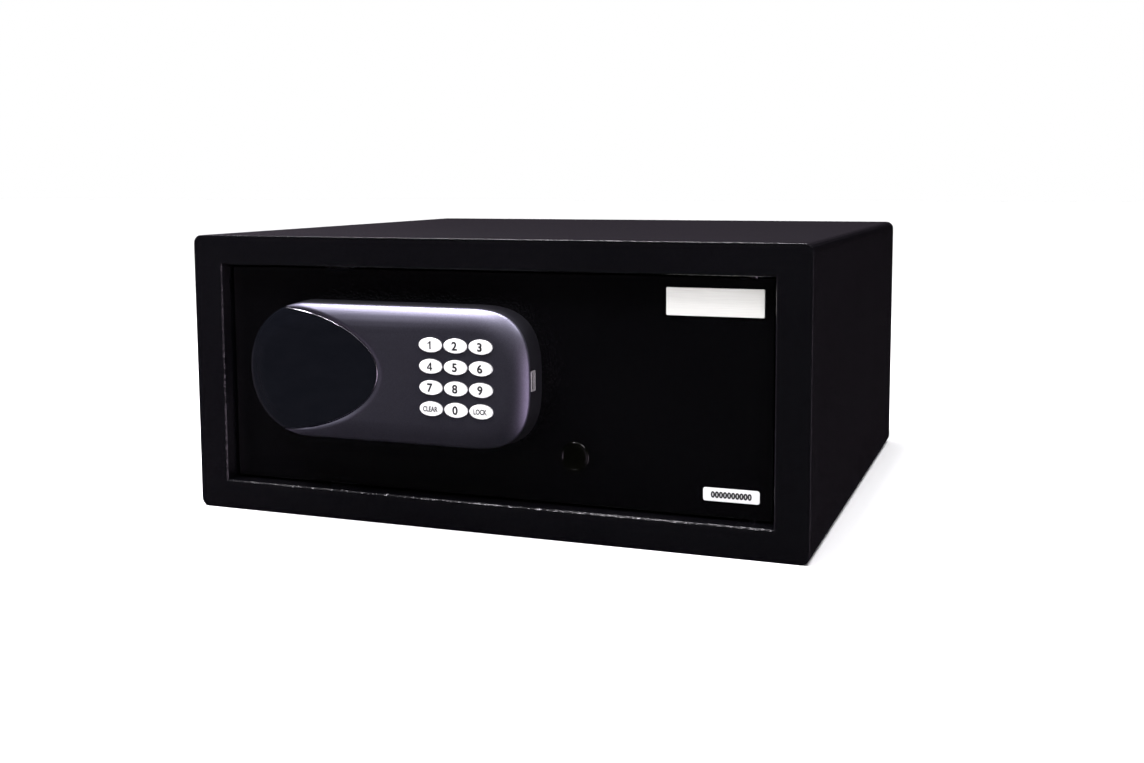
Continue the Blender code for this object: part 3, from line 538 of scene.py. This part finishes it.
def tool(name, bm):
    bmesh.ops.recalc_face_normals(bm, faces=bm.faces)
    me = bpy.data.meshes.new(name)
    bm.to_mesh(me)
    bm.free()
    o = bpy.data.objects.new(name, me)
    bpy.context.scene.collection.objects.link(o)
    return o


def cut(bm, cutters, operation="DIFFERENCE"):
    """Exact booleans on a bmesh, returned as a new bmesh."""
    base = tool("tmp_base", bm)
    tools = [tool("tmp_tool", c) for c in cutters]
    for t in tools:
        m = base.modifiers.new("b", "BOOLEAN")
        m.operation, m.solver, m.object = operation, "EXACT", t
    bpy.context.view_layer.update()
    me = bpy.data.meshes.new_from_object(
        base.evaluated_get(bpy.context.evaluated_depsgraph_get()))
    out = bmesh.new()
    out.from_mesh(me)
    bpy.data.meshes.remove(me)
    for o in [base, *tools]:
        d = o.data
        bpy.data.objects.remove(o)
        bpy.data.meshes.remove(d)
    return out


def turned(profile, origin, axis="Y", steps=64, mm=True):
    """Closed body of revolution from (radius, along) pairs, both on the axis at its ends."""
    bm = bmesh.new()
    rings = []
    for r, h in profile:
        if r <= 1e-6:
            pts = [(0.0, 0.0)]
        else:
            pts = [(r * math.cos(2 * math.pi * k / steps), r * math.sin(2 * math.pi * k / steps))
                   for k in range(steps)]
        row = []
        for u, v in pts:
            at = {"Y": (u, h, v), "X": (h, u, v), "Z": (u, v, h)}[axis]
            row.append(bm.verts.new(P(origin[0] + at[0], origin[1] + at[1],
                                      origin[2] + at[2])))
        rings.append(row)
    for a, b in zip(rings, rings[1:]):
        for k in range(steps):
            j = (k + 1) % steps
            if len(a) == 1 and len(b) == 1:
                continue
            if len(a) == 1:
                bm.faces.new((a[0], b[k], b[j]))
            elif len(b) == 1:
                bm.faces.new((a[k], a[j], b[0]))
            else:
                bm.faces.new((a[k], a[j], b[j], b[k]))
    return bm


def rounded_rect(x0, x1, z0, z1, r, seg=6):
    pts = []
    for cx, cz, a0 in ((x1 - r, z1 - r, 0), (x0 + r, z1 - r, 90),
                       (x0 + r, z0 + r, 180), (x1 - r, z0 + r, 270)):
        for k in range(seg + 1):
            a = math.radians(a0 + 90 * k / seg)
            pts.append((cx + r * math.cos(a), cz + r * math.sin(a)))
    return pts


def soft_plate(outline_at, y_front, y_back, edge=0.3, steps=4):
    """A plate with a rounded front edge; outline_at(inset) gives its outline in x, z."""
    rows = [[P(x, y_back, z) for x, z in outline_at(0.0)]]
    for k in range(steps + 1):
        a = math.radians(90 * k / steps)
        rows.append([P(x, y_front + edge * (1 - math.sin(a)), z)
                     for x, z in outline_at(edge * (1 - math.cos(a)))])
    return lofted(rows)


# ================================================================== console
ZC, HB, XL, XR, NL, NR = 106.8, 48.3, -127.5, -6.0, 2.1, 2.95
FACE, ARC, WALL, BACK = -12.4, 23.9, 2.2, 11.7
WX, WZ, WA, WB, WN = -155.0, 107.6, 85.3, 43.8, 1.93
DROP, SKIRT = 2.0, -1.6


def outline(inset, seg=56):
    r = HB - inset
    pts = []
    for x0, n, a0, sgn in ((XR, NR, -90, 1), (XL, NL, 90, -1)):
        for k in range(seg + 1):
            a = math.radians(a0 + 180 * k / seg)
            c, s = math.cos(a), math.sin(a)
            pts.append((x0 + sgn * r * abs(c) ** (2 / n),
                        ZC + math.copysign(r * abs(s) ** (2 / n), s)))
    return pts


def section():
    """(inset, y) along the console's outer skin from the wall to its centre."""
    pts = [(0.0, BACK), (0.55, 3.3), (1.11, -5.2)]
    p0, p1, p2 = np.array((1.11, -5.2)), np.array((1.195, -6.47)), np.array((2.29, -7.33))
    for k in range(1, 7):
        t = k / 6
        pts.append(tuple((1 - t) ** 2 * p0 + 2 * t * (1 - t) * p1 + t * t * p2))
    for k in range(1, 15):
        t = math.radians(38 * (1 - k / 14))
        pts.append((17 - ARC * math.sin(t), FACE + ARC * (1 - math.cos(t))))
    return pts + [(22.0, FACE - 0.055), (28.0, FACE - 0.10), (38.0, FACE - 0.15)]


SECTION = section()
S_IN = np.array([i for i, _ in SECTION])
S_Y = np.array([y for _, y in SECTION])


def inset_at(x, z):
    n = NL if x < XL else NR
    dx = max(XL - x, x - XR, 0.0)
    return HB - (dx ** n + abs(z - ZC) ** n) ** (1 / n)


def skin_y(x, z, shift=0.0):
    i = max(inset_at(x, z), 1.11)
    return float(np.interp(i, S_IN, S_Y)) + shift * min(1.0, max(0.0, (i - 1.15) / 6.85))


def window(edge, lip=0.0, reach=60.0, seg=110):
    pts = []
    for k in range(seg + 1):
        t = math.radians(-90 + 180 * k / seg)
        c, s = math.cos(t), math.sin(t)
        grow = edge + lip * (0.4 + 0.6 * abs(c) ** 0.8)
        pts.append((WX + (WA + grow) * abs(c) ** (2 / WN),
                    WZ + math.copysign((WB + grow) * abs(s) ** (2 / WN), s)))
    return pts + [(WX - reach, pts[-1][1]), (WX - reach, pts[0][1])]


def console():
    bm = lofted([[P(x, y, z) for x, z in outline(i)] for i, y in SECTION])
    arc = ARC - WALL
    inner = [(WALL, 16.0)]
    curve = [(17 - arc * math.sin(t), FACE + ARC - arc * math.cos(t))
             for t in map(math.radians, (40, 32, 24, 16, 8, 0))]
    inner += [(curve[0][0] - 0.3, curve[0][1] + 0.9)] + curve + [(30.0, FACE + WALL - 0.08)]
    hollow = lofted([[P(x, y, z) for x, z in outline(i, 32)] for i, y in inner])
    rows = [[P(x, -20.0, z) for x, z in window(0.35, 4.6)]]
    for k in range(9):
        u = k / 8
        pts = window(0.35, 4.6 * (1 - u))
        rows.append([P(x, skin_y(x, z, DROP * u ** 1.9), z) for x, z in pts])
    rows.append([P(x, SKIRT + 0.3, z) for x, z in window(0.35)])
    seat = lofted(rows)
    keys = bmesh.new()
    for kx, kz in KEY_AT.values():
        oval = [(kx + 9.0 * math.cos(2 * math.pi * k / 64),
                 kz + 5.35 * math.sin(2 * math.pi * k / 64)) for k in range(64)]
        vs = strip(keys, [[P(x, -20, z) for x, z in oval], [P(x, -6, z) for x, z in oval]])
        keys.faces.new(vs[0])
        keys.faces.new(list(reversed(vs[-1])))
    port = bmesh.new()
    rim = rounded_rect(USB_Y - 3.4, USB_Y + 3.4, USB_Z - 7.1, USB_Z + 7.1, 0.7, 4)
    vs = strip(port, [[P(36, y, z) for y, z in rim], [P(50, y, z) for y, z in rim]])
    port.faces.new(vs[0])
    port.faces.new(list(reversed(vs[-1])))
    bm = cut(bm, [hollow, seat, keys, port])
    # The console's side wall, the band next to the door, takes the near-black skirt material, much
    # darker than the painted face.
    for f in bm.faces:
        c = f.calc_center_median()
        if c.y > -0.2053 and inset_at(c.x / MM, c.z / MM) < 1.16:
            f.material_index = 1
    o = add("console_shell", bm, MAT["console"], "door", 24)
    o.data.materials.append(SKIRT_MAT)
    bev = o.modifiers.new("edge_round", "BEVEL")
    bev.width, bev.segments = 0.22 * MM, 2
    bev.limit_method, bev.angle_limit = "ANGLE", math.radians(42)
    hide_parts("console_housing")


def lens():
    cx, cz = -120.0, 107.2
    steps = 260

    def inside_w(x, z):
        if x < WX:
            return abs(z - WZ) <= WB
        return (abs(x - WX) / WA) ** WN + (abs(z - WZ) / WB) ** WN <= 1.0

    def far(test, ux, uz):
        lo, hi = 5.0, 90.0
        for _ in range(40):
            mid = (lo + hi) / 2
            if test(cx + ux * mid, cz + uz * mid):
                lo = mid
            else:
                hi = mid
        return lo

    dirs, r, rw, rc = [], [], [], []
    for k in range(steps):
        a = 2 * math.pi * k / steps
        ux, uz = math.cos(a), math.sin(a)
        w = far(inside_w, ux, uz)
        c = far(lambda x, z: inset_at(x, z) >= 1.11, ux, uz)
        dirs.append((ux, uz))
        rw.append(w)
        rc.append(c)
        r.append(min(w, c))
    rnd = 1.25

    def ring(w, dy=0.0, grow=0.0, flat=None, rounding=True):
        row = []
        for (ux, uz), rr, ww, cc in zip(dirs, r, rw, rc):
            q = rr * (1 - w / 50.0) + (grow if cc < ww else 0.0)
            x, z = cx + ux * q, cz + uz * q
            if flat is not None:
                y = flat
            else:
                y = skin_y(x, z, DROP) + dy
                d = ww - q
                if rounding and d < rnd:
                    y += rnd - math.sqrt(max(rnd ** 2 - (rnd - d) ** 2, 0.0))
            row.append(P(x, y, z))
        return row

    rows = [ring(2.6, flat=SKIRT), ring(0.0, grow=0.2, flat=SKIRT)]
    for w in (0.0, 0.02, 0.06, 0.13, 0.22, 0.34, 0.5, 0.7, 0.95, 1.3, 1.8, 2.5, 3.4, 4.6,
              6, 7.6, 9.5, 12, 15, 19, 24, 30, 37, 44):
        rows.append(ring(w))
    bm = bmesh.new()
    vs = strip(bm, rows)
    n = steps
    bm.faces.ensure_lookup_table()
    for k in range(2 * n, 9 * n):
        i = k % n
        if rw[i] < rc[i] and rw[(i + 1) % n] < rc[(i + 1) % n]:
            bm.faces[k].material_index = 1
    mid = bm.verts.new(P(cx, skin_y(cx, cz, DROP), cz))
    for i in range(n):
        bm.faces.new((vs[-1][i], vs[-1][(i + 1) % n], mid))
    low = [ring(w, 2.1, rounding=False) for w in (4.4, 8, 13, 20, 30, 40)]
    vi = strip(bm, low)
    for i in range(n):
        j = (i + 1) % n
        bm.faces.new((vs[0][j], vs[0][i], vi[0][i], vi[0][j]))
    mid = bm.verts.new(P(cx, skin_y(cx, cz, DROP) + 2.1, cz))
    for i in range(n):
        bm.faces.new((vi[-1][(i + 1) % n], vi[-1][i], mid))
    o = add("window_lens", bm, MAT["window"], "door", 40)
    o.data.materials.append(RIM)
    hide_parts("display_lens")


# ===================================================================== keys
KEY_X, KEY_Z = (-28.2, -9.8, 8.6), (129.4, 115.0, 100.6, 86.2)
KEY_ROWS = (("key_1", "key_2", "key_3"), ("key_4", "key_5", "key_6"),
            ("key_7", "key_8", "key_9"), ("key_clear", "key_0", "key_lock"))
KEY_AT = {n: (x, z) for row, z in zip(KEY_ROWS, KEY_Z) for n, x in zip(row, KEY_X)}
KEY_A, KEY_B, KEY_Y = 8.6, 4.95, FACE - 0.1
DOME = ((0.0, 1.60), (0.3, 1.575), (0.55, 1.50), (0.72, 1.36), (0.84, 1.15), (0.91, 0.93),
        (0.96, 0.65), (0.985, 0.38), (1.0, 0.0))
USB_Y, USB_Z = -1.5, 107.0


def dome(q):
    return float(np.interp(q, [a for a, _ in DOME], [b for _, b in DOME]))


def key_top(kx, kz, x, z):
    return KEY_Y - dome(math.hypot((x - kx) / KEY_A, (z - kz) / KEY_B))


def keycap(name, kx, kz):
    steps = 64
    levels = [(1.0, -6.2), (1.0, -2.0), (1.0, 0.0)]
    levels += [(q, dome(q)) for q in (0.985, 0.96, 0.935, 0.91, 0.88, 0.84, 0.79, 0.72, 0.64,
                                      0.55, 0.42, 0.3, 0.15)]
    rows = [[P(kx + KEY_A * q * math.cos(2 * math.pi * k / steps), KEY_Y - h,
               kz + KEY_B * q * math.sin(2 * math.pi * k / steps)) for k in range(steps)]
            for q, h in levels]
    bm = lofted(rows, True, True)
    o = add(name + "_cap", bm, MAT["keycap"], name + "_body", 40)
    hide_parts(name)
    return o


def lettering(name, text, size, at, surface, mat, body, stretch=1.0, bold=0.0,
              depth=0.06, spacing=1.0):
    """Thin raised print: a closed mesh of the text laid on a surface y(x, z)."""
    cu = bpy.data.curves.new("tmp_text", "FONT")
    cu.body, cu.size = text, size
    cu.align_x, cu.align_y = "CENTER", "CENTER"
    cu.space_character = spacing
    cu.resolution_u = 4
    cu.extrude = 0.5
    cu.offset = bold
    tmp = bpy.data.objects.new("tmp_text", cu)
    bpy.context.scene.collection.objects.link(tmp)
    bpy.context.view_layer.update()
    me = bpy.data.meshes.new_from_object(
        tmp.evaluated_get(bpy.context.evaluated_depsgraph_get()))
    bpy.data.objects.remove(tmp)
    bpy.data.curves.remove(cu)
    bm = bmesh.new()
    bm.from_mesh(me)
    bpy.data.meshes.remove(me)
    bmesh.ops.remove_doubles(bm, verts=bm.verts, dist=1e-5)
    for axis in (0, 1):
        lo = min(v.co[axis] for v in bm.verts)
        hi = max(v.co[axis] for v in bm.verts)
        no = Vector((1, 0, 0)) if axis == 0 else Vector((0, 1, 0))
        for k in range(1, int((hi - lo) / 0.55) + 1):
            bmesh.ops.bisect_plane(bm, geom=bm.verts[:] + bm.edges[:] + bm.faces[:],
                                   dist=1e-6, plane_co=no * (lo + 0.55 * k - 0.013),
                                   plane_no=no)
    bmesh.ops.triangulate(bm, faces=bm.faces)
    ys = [v.co.y for v in bm.verts]
    mid = (min(ys) + max(ys)) / 2
    xs = [v.co.x for v in bm.verts]
    midx = (min(xs) + max(xs)) / 2
    for v in bm.verts:
        x = at[0] + (v.co.x - midx) * stretch
        z = at[1] + v.co.y - mid
        v.co = P(x, surface(x, z) + (-depth if v.co.z > 0 else 0.03), z)
    return add(name, bm, mat, body, 30)


GLYPHS = {
    "1": [[(1.05, -2.75), (1.05, 2.75), (0.25, 2.75), (-0.2, 2.05), (-1.3, 1.5), (-1.3, 0.65),
           (-0.02, 1.2), (-0.02, -2.75)]],
    "4": [[(0.28, -2.75), (1.3, -2.75), (1.3, -1.6), (2.0, -1.6), (2.0, -0.7), (1.3, -0.7),
           (1.3, 2.75), (0.55, 2.75), (-2.0, -0.7), (-2.0, -1.6), (0.28, -1.6)],
          [(-0.85, -0.7), (0.28, 0.98), (0.28, -0.7)]],
}


def glyph(name, figure, kx, kz, body):
    """A figure drawn from its outline, as thin print on the cap."""
    loops = GLYPHS[figure]
    flat = [(x, z) for loop in loops for x, z in loop]
    bm = bmesh.new()
    vs = [bm.verts.new((x, z, 0.0)) for x, z in flat]
    for tri in tessellate_polygon([[Vector((x, z, 0)) for x, z in loop] for loop in loops]):
        bm.faces.new([vs[i] for i in tri])
    for axis, lo, hi in ((1, -2.75, 2.75), (0, -2.0, 2.0)):
        for k in range(1, int((hi - lo) / 0.5) + 1):
            co, no = [0.0, 0.0, 0.0], [0.0, 0.0, 0.0]
            co[axis], no[axis] = lo + 0.5 * k - 0.013, 1.0
            bmesh.ops.bisect_plane(bm, geom=bm.verts[:] + bm.edges[:] + bm.faces[:],
                                   dist=1e-6, plane_co=co, plane_no=no)
    bmesh.ops.triangulate(bm, faces=bm.faces)
    bmesh.ops.recalc_face_normals(bm, faces=bm.faces)
    g = bmesh.ops.extrude_face_region(bm, geom=bm.faces[:])
    for v in g["geom"]:
        if isinstance(v, bmesh.types.BMVert):
            v.co.z = 1.0
    for v in bm.verts:
        x, z = kx + v.co.x, kz + v.co.y
        v.co = P(x, key_top(kx, kz, x, z) + (-0.06 if v.co.z > 0.5 else 0.03), z)
    add(name, bm, INK, body, 30)


for key, (kx, kz) in KEY_AT.items():
    keycap(key, kx, kz)
    word = key.split("_")[1].upper()
    top = (lambda a, b: lambda x, z: key_top(a, b, x, z))(kx, kz)
    if word in GLYPHS:
        glyph(key + "_digit", word, kx, kz, key + "_body")
    elif len(word) == 1:
        lettering(key + "_digit", word, 7.9, (kx, kz), top, INK, key + "_body", 1.02, 0.24)
    else:
        lettering(key + "_word", word, 4.9, (kx, kz), top, INK, key + "_body", 0.74, 0.16)

console()
lens()


# ============================================================ door furniture
def nameplate():
    x0, x1, z0, z1 = 129.0, 193.0, 152.4, 170.4
    bm = soft_plate(lambda i: rounded_rect(x0 + i, x1 - i, z0 + i, z1 - i, 0.8 - i * 0.6, 4),
                    10.8, 11.7, 0.25)
    groove = bmesh.new()
    a = rounded_rect(x0 + 1.6, x1 - 1.6, z0 + 1.6, z1 - 1.6, 0.8, 4)
    b = rounded_rect(x0 + 1.95, x1 - 1.95, z0 + 1.95, z1 - 1.95, 0.6, 4)
    va = strip(groove, [[P(x, 10.5, z) for x, z in a], [P(x, 10.95, z) for x, z in a]])
    vb = strip(groove, [[P(x, 10.5, z) for x, z in b], [P(x, 10.95, z) for x, z in b]])
    n = len(a)
    for lvl in (0, 1):
        for i in range(n):
            j = (i + 1) % n
            groove.faces.new((va[lvl][i], va[lvl][j], vb[lvl][j], vb[lvl][i]))
    bm = cut(bm, [groove])
    o = add("badge_plate", bm, MAT["name_metal"], "door", 30)
    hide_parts("nameplate")


def label():
    x0, x1, z0, z1 = 153.8, 190.8, 33.2, 41.9
    bm = soft_plate(lambda i: rounded_rect(x0 + i, x1 - i, z0 + i, z1 - i, 1.6 - i * 0.6, 6),
                    11.45, 11.7, 0.08)
    o = add("label_plate", bm, MAT["label"], "door", 30)
    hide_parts("serial_label")
    lettering("label_zeros", "0000000000", 5.4, (172.3, 37.5), lambda x, z: 11.45, INK, "door",
              0.90, 0.34, 0.05, 1.10)


nameplate()
label()


def cap():
    prof = [(0, 14.2), (4.6, 14.2), (5.0, 13.8), (5.0, 11.7), (10.2, 11.7), (10.2, 10.62),
            (10.14, 10.26), (9.98, 9.94), (9.75, 9.74), (9.45, 9.64), (9.1, 9.66), (8.75, 9.80),
            (8.4, 10.04), (8.05, 10.26), (7.5, 10.40), (5.0, 10.56), (2.5, 10.64), (0, 10.66)]
    bm = turned(prof, (66.0, 0, 55.3), "Y", 96)
    o = add("emergency_plug", bm, MAT["gloss_black"], "cap_body", 50)
    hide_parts("emergency_cap")


cap()

def floor_mat():
    """The needle-felt mat: cut edges, a soft nap, and two holes over the fixing bolts."""
    nx, ny = 112, 100
    bm = bmesh.new()
    rng = np.random.default_rng(7)
    rough = rng.normal(0, 1, (ny + 1, nx + 1))
    for _ in range(2):
        rough = (rough + np.roll(rough, 1, 0) + np.roll(rough, -1, 0) + np.roll(rough, 1, 1)
                 + np.roll(rough, -1, 1)) / 5
    top, low = [], []
    for j in range(ny + 1):
        for i in range(nx + 1):
            x, y = -220 + 440 * i / nx, 4 + 392 * j / ny
            edge = min(i, nx - i, j, ny - j)
            z = 5.14 + 0.35 * float(np.clip(rough[j, i], -0.4, 0.4)) * min(edge, 3) / 3
            z -= (0.55, 0.10)[edge] if edge < 2 else 0.0
            top.append(bm.verts.new(P(x, y, z)))
            low.append(bm.verts.new(P(x, y, 2.35)))
    for j in range(ny):
        for i in range(nx):
            a, b = j * (nx + 1) + i, (j + 1) * (nx + 1) + i
            bm.faces.new((top[a], top[a + 1], top[b + 1], top[b]))
            bm.faces.new((low[a], low[b], low[b + 1], low[a + 1]))
    rim = [(0, i) for i in range(nx)] + [(j, nx) for j in range(ny)]
    rim += [(ny, i) for i in range(nx, 0, -1)] + [(j, 0) for j in range(ny, 0, -1)]
    rim = [j * (nx + 1) + i for j, i in rim]
    for a, b in zip(rim, rim[1:] + rim[:1]):
        bm.faces.new((top[a], low[a], low[b], top[b]))
    holes = bmesh.new()
    for x in (-120, 120):
        ring = [(x + 9 * math.cos(2 * math.pi * k / 40), 240 + 9 * math.sin(2 * math.pi * k / 40))
                for k in range(40)]
        vs = strip(holes, [[P(u, v, 0) for u, v in ring], [P(u, v, 8) for u, v in ring]])
        holes.faces.new(vs[0])
        holes.faces.new(list(reversed(vs[-1])))
    o = add("felt_mat", cut(bm, [holes]), MAT["felt"], "cabinet", 40)
    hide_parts("floor_mat")


floor_mat()

# rounded sheet and moulded edges on the pieces that keep their CAD shape
for name, w in {"inner_cover": 0.35, "door_plate": 0.4, "bolt_bracket": 0.3,
                "carriage_guide": 0.3, "arm_guide": 0.3, "bolt_carriage": 0.3,
                "hinge_bracket_top": 0.3, "hinge_bracket_bottom": 0.3, "door_stop_top": 0.3,
                "door_stop_bottom": 0.3, "lock_cam": 0.25, "lock_nut": 0.4,
                "usb_shell": 0.12, "battery_box": 0.3, "rear_panel": 0.3,
                "control_board": 0.15, "gearbox": 0.2}.items():
    m = NODES[name].modifiers.new("edge_round", "BEVEL")
    m.width, m.segments, m.limit_method = w * MM, 2, "ANGLE"
    m.angle_limit = math.radians(50)


# ==================================================================== studio
def area(name, at, to, size, power, colour=(1, 1, 1)):
    d = bpy.data.lights.new(name, "AREA")
    d.shape, d.size, d.size_y = "RECTANGLE", size[0], size[1]
    d.energy, d.color = power, colour
    o = bpy.data.objects.new(name, d)
    bpy.context.scene.collection.objects.link(o)
    o.location = at
    o.rotation_euler = (Vector(to) - Vector(at)).to_track_quat("-Z", "Y").to_euler()
    return o


area("key_left", (-0.55, -0.62, 1.22), (0.0, -0.05, 0.12), (0.60, 0.20), 19, (0.97, 0.94, 1.0))
area("strip_top", (-0.22, -0.16, 1.30), (-0.22, -0.02, 0.10), (0.75, 0.20), 30, (0.97, 0.94, 1.0))
area("key_front", (0.10, -0.80, 1.30), (0.0, -0.05, 0.12), (0.70, 0.55), 1.5, (0.97, 0.94, 1.0))
area("key_right", (0.65, -0.72, 1.15), (0.0, -0.05, 0.12), (0.45, 0.45), 8, (0.97, 0.95, 1.0))
area("strip_right", (1.35, -1.15, 0.30), (0.15, -0.15, 0.12), (0.22, 0.55), 0.9, (1.0, 0.88, 0.82))


def fill(name, towards, strength, spread):
    d = bpy.data.lights.new(name, "SUN")
    d.energy, d.angle = strength, math.radians(spread)
    o = bpy.data.objects.new(name, d)
    bpy.context.scene.collection.objects.link(o)
    o.rotation_euler = Vector(towards).to_track_quat("-Z", "Y").to_euler()
    o.visible_glossy = False


fill("fill_top", (0.0, 0.05, -1.0), 3.7, 60)

world = bpy.data.worlds.new("studio")
bpy.context.scene.world = world
world.use_nodes = True
wt = world.node_tree
wt.nodes.clear()
w_out = wt.nodes.new("ShaderNodeOutputWorld")
w_mix = wt.nodes.new("ShaderNodeMixShader")
w_seen = wt.nodes.new("ShaderNodeBackground")
w_lit = wt.nodes.new("ShaderNodeBackground")
w_path = wt.nodes.new("ShaderNodeLightPath")
w_seen.inputs[0].default_value = (1, 1, 1, 1)
w_dir = wt.nodes.new("ShaderNodeTexCoord").outputs["Generated"]
w_xyz = wt.nodes.new("ShaderNodeSeparateXYZ")
wt.links.new(w_dir, w_xyz.inputs[0])


def w_step(socket, a, b):
    n = wt.nodes.new("ShaderNodeMapRange")
    n.interpolation_type = "SMOOTHSTEP"
    wt.links.new(socket, n.inputs["Value"])
    n.inputs["From Min"].default_value, n.inputs["From Max"].default_value = a, b
    return n.outputs[0]


def w_mul(a, b):
    n = wt.nodes.new("ShaderNodeMath")
    n.operation = "MULTIPLY"
    for k, v in enumerate((a, b)):
        if isinstance(v, float):
            n.inputs[k].default_value = v
        else:
            wt.links.new(v, n.inputs[k])
    return n.outputs[0]


glow = w_mul(w_mul(w_step(w_xyz.outputs[1], 0.1, 0.8), w_step(w_xyz.outputs[0], 0.12, -0.15)),
             w_step(w_xyz.outputs[2], 0.75, 0.25))
w_sum = wt.nodes.new("ShaderNodeMath")
w_sum.operation = "MULTIPLY_ADD"
wt.links.new(glow, w_sum.inputs[0])
w_sum.inputs[1].default_value = 0.048
w_side = wt.nodes.new("ShaderNodeMath")        # pale walls to the left and right
w_side.operation = "ABSOLUTE"
wt.links.new(w_xyz.outputs[0], w_side.inputs[0])
w_lean = wt.nodes.new("ShaderNodeMath")
w_lean.operation = "MULTIPLY_ADD"
wt.links.new(w_xyz.outputs[1], w_lean.inputs[0])
w_lean.inputs[1].default_value = 0.15
wt.links.new(w_side.outputs[0], w_lean.inputs[2])
w_fore = w_mul(w_step(w_xyz.outputs[1], -0.05, -0.40), w_step(w_xyz.outputs[0], 0.30, -0.30))
w_dim = wt.nodes.new("ShaderNodeMath")         # the wall at the front left is darker
w_dim.operation = "MULTIPLY_ADD"
wt.links.new(w_fore, w_dim.inputs[0])
w_dim.inputs[1].default_value, w_dim.inputs[2].default_value = -0.60, 1.0
w_low = w_mul(w_mul(w_step(w_lean.outputs[0], 0.54, 0.80), w_dim.outputs[0]),
              w_step(w_xyz.outputs[2], 0.12, -0.06))
w_right = w_mul(w_mul(w_step(w_xyz.outputs[0], 0.45, 0.75), w_step(w_xyz.outputs[1], -0.15, -0.35)),
                w_step(w_xyz.outputs[2], 0.10, -0.10))
w_edge = wt.nodes.new("ShaderNodeMath")        # a soft card low at the front right
w_edge.operation = "MULTIPLY_ADD"
wt.links.new(w_right, w_edge.inputs[0])
w_edge.inputs[1].default_value = 5.0
wt.links.new(w_low, w_edge.inputs[2])
w_low = w_edge.outputs[0]
w_base = wt.nodes.new("ShaderNodeMath")
w_base.operation = "MULTIPLY_ADD"
wt.links.new(w_low, w_base.inputs[0])
w_base.inputs[1].default_value, w_base.inputs[2].default_value = 0.46, 0.005
wt.links.new(w_base.outputs[0], w_sum.inputs[2])
wt.links.new(w_sum.outputs[0], w_lit.inputs[1])
w_lit.inputs[0].default_value = (1.0, 0.82, 1.04, 1)
wt.links.new(w_path.outputs["Is Camera Ray"], w_mix.inputs[0])
wt.links.new(w_lit.outputs[0], w_mix.inputs[1])
wt.links.new(w_seen.outputs[0], w_mix.inputs[2])
wt.links.new(w_mix.outputs[0], w_out.inputs[0])

bm = bmesh.new()
bmesh.ops.create_grid(bm, x_segments=2, y_segments=2, size=12)
me = bpy.data.meshes.new("floor")
bm.to_mesh(me)
bm.free()
floor = bpy.data.objects.new("floor", me)
bpy.context.scene.collection.objects.link(floor)
fm = Nodes("pale_floor")
fm.set(Base_Color=fm.mix(fm.span(fm.noise(3, 2.0, 0.5), 0, 1, 0.3, 0.7),
                         (0.91, 0.91, 0.915), (0.93, 0.93, 0.935)), Roughness=0.9)
fm.bsdf.inputs["Specular IOR Level"].default_value = 0.0
me.materials.append(fm.mat)
floor.visible_glossy = False
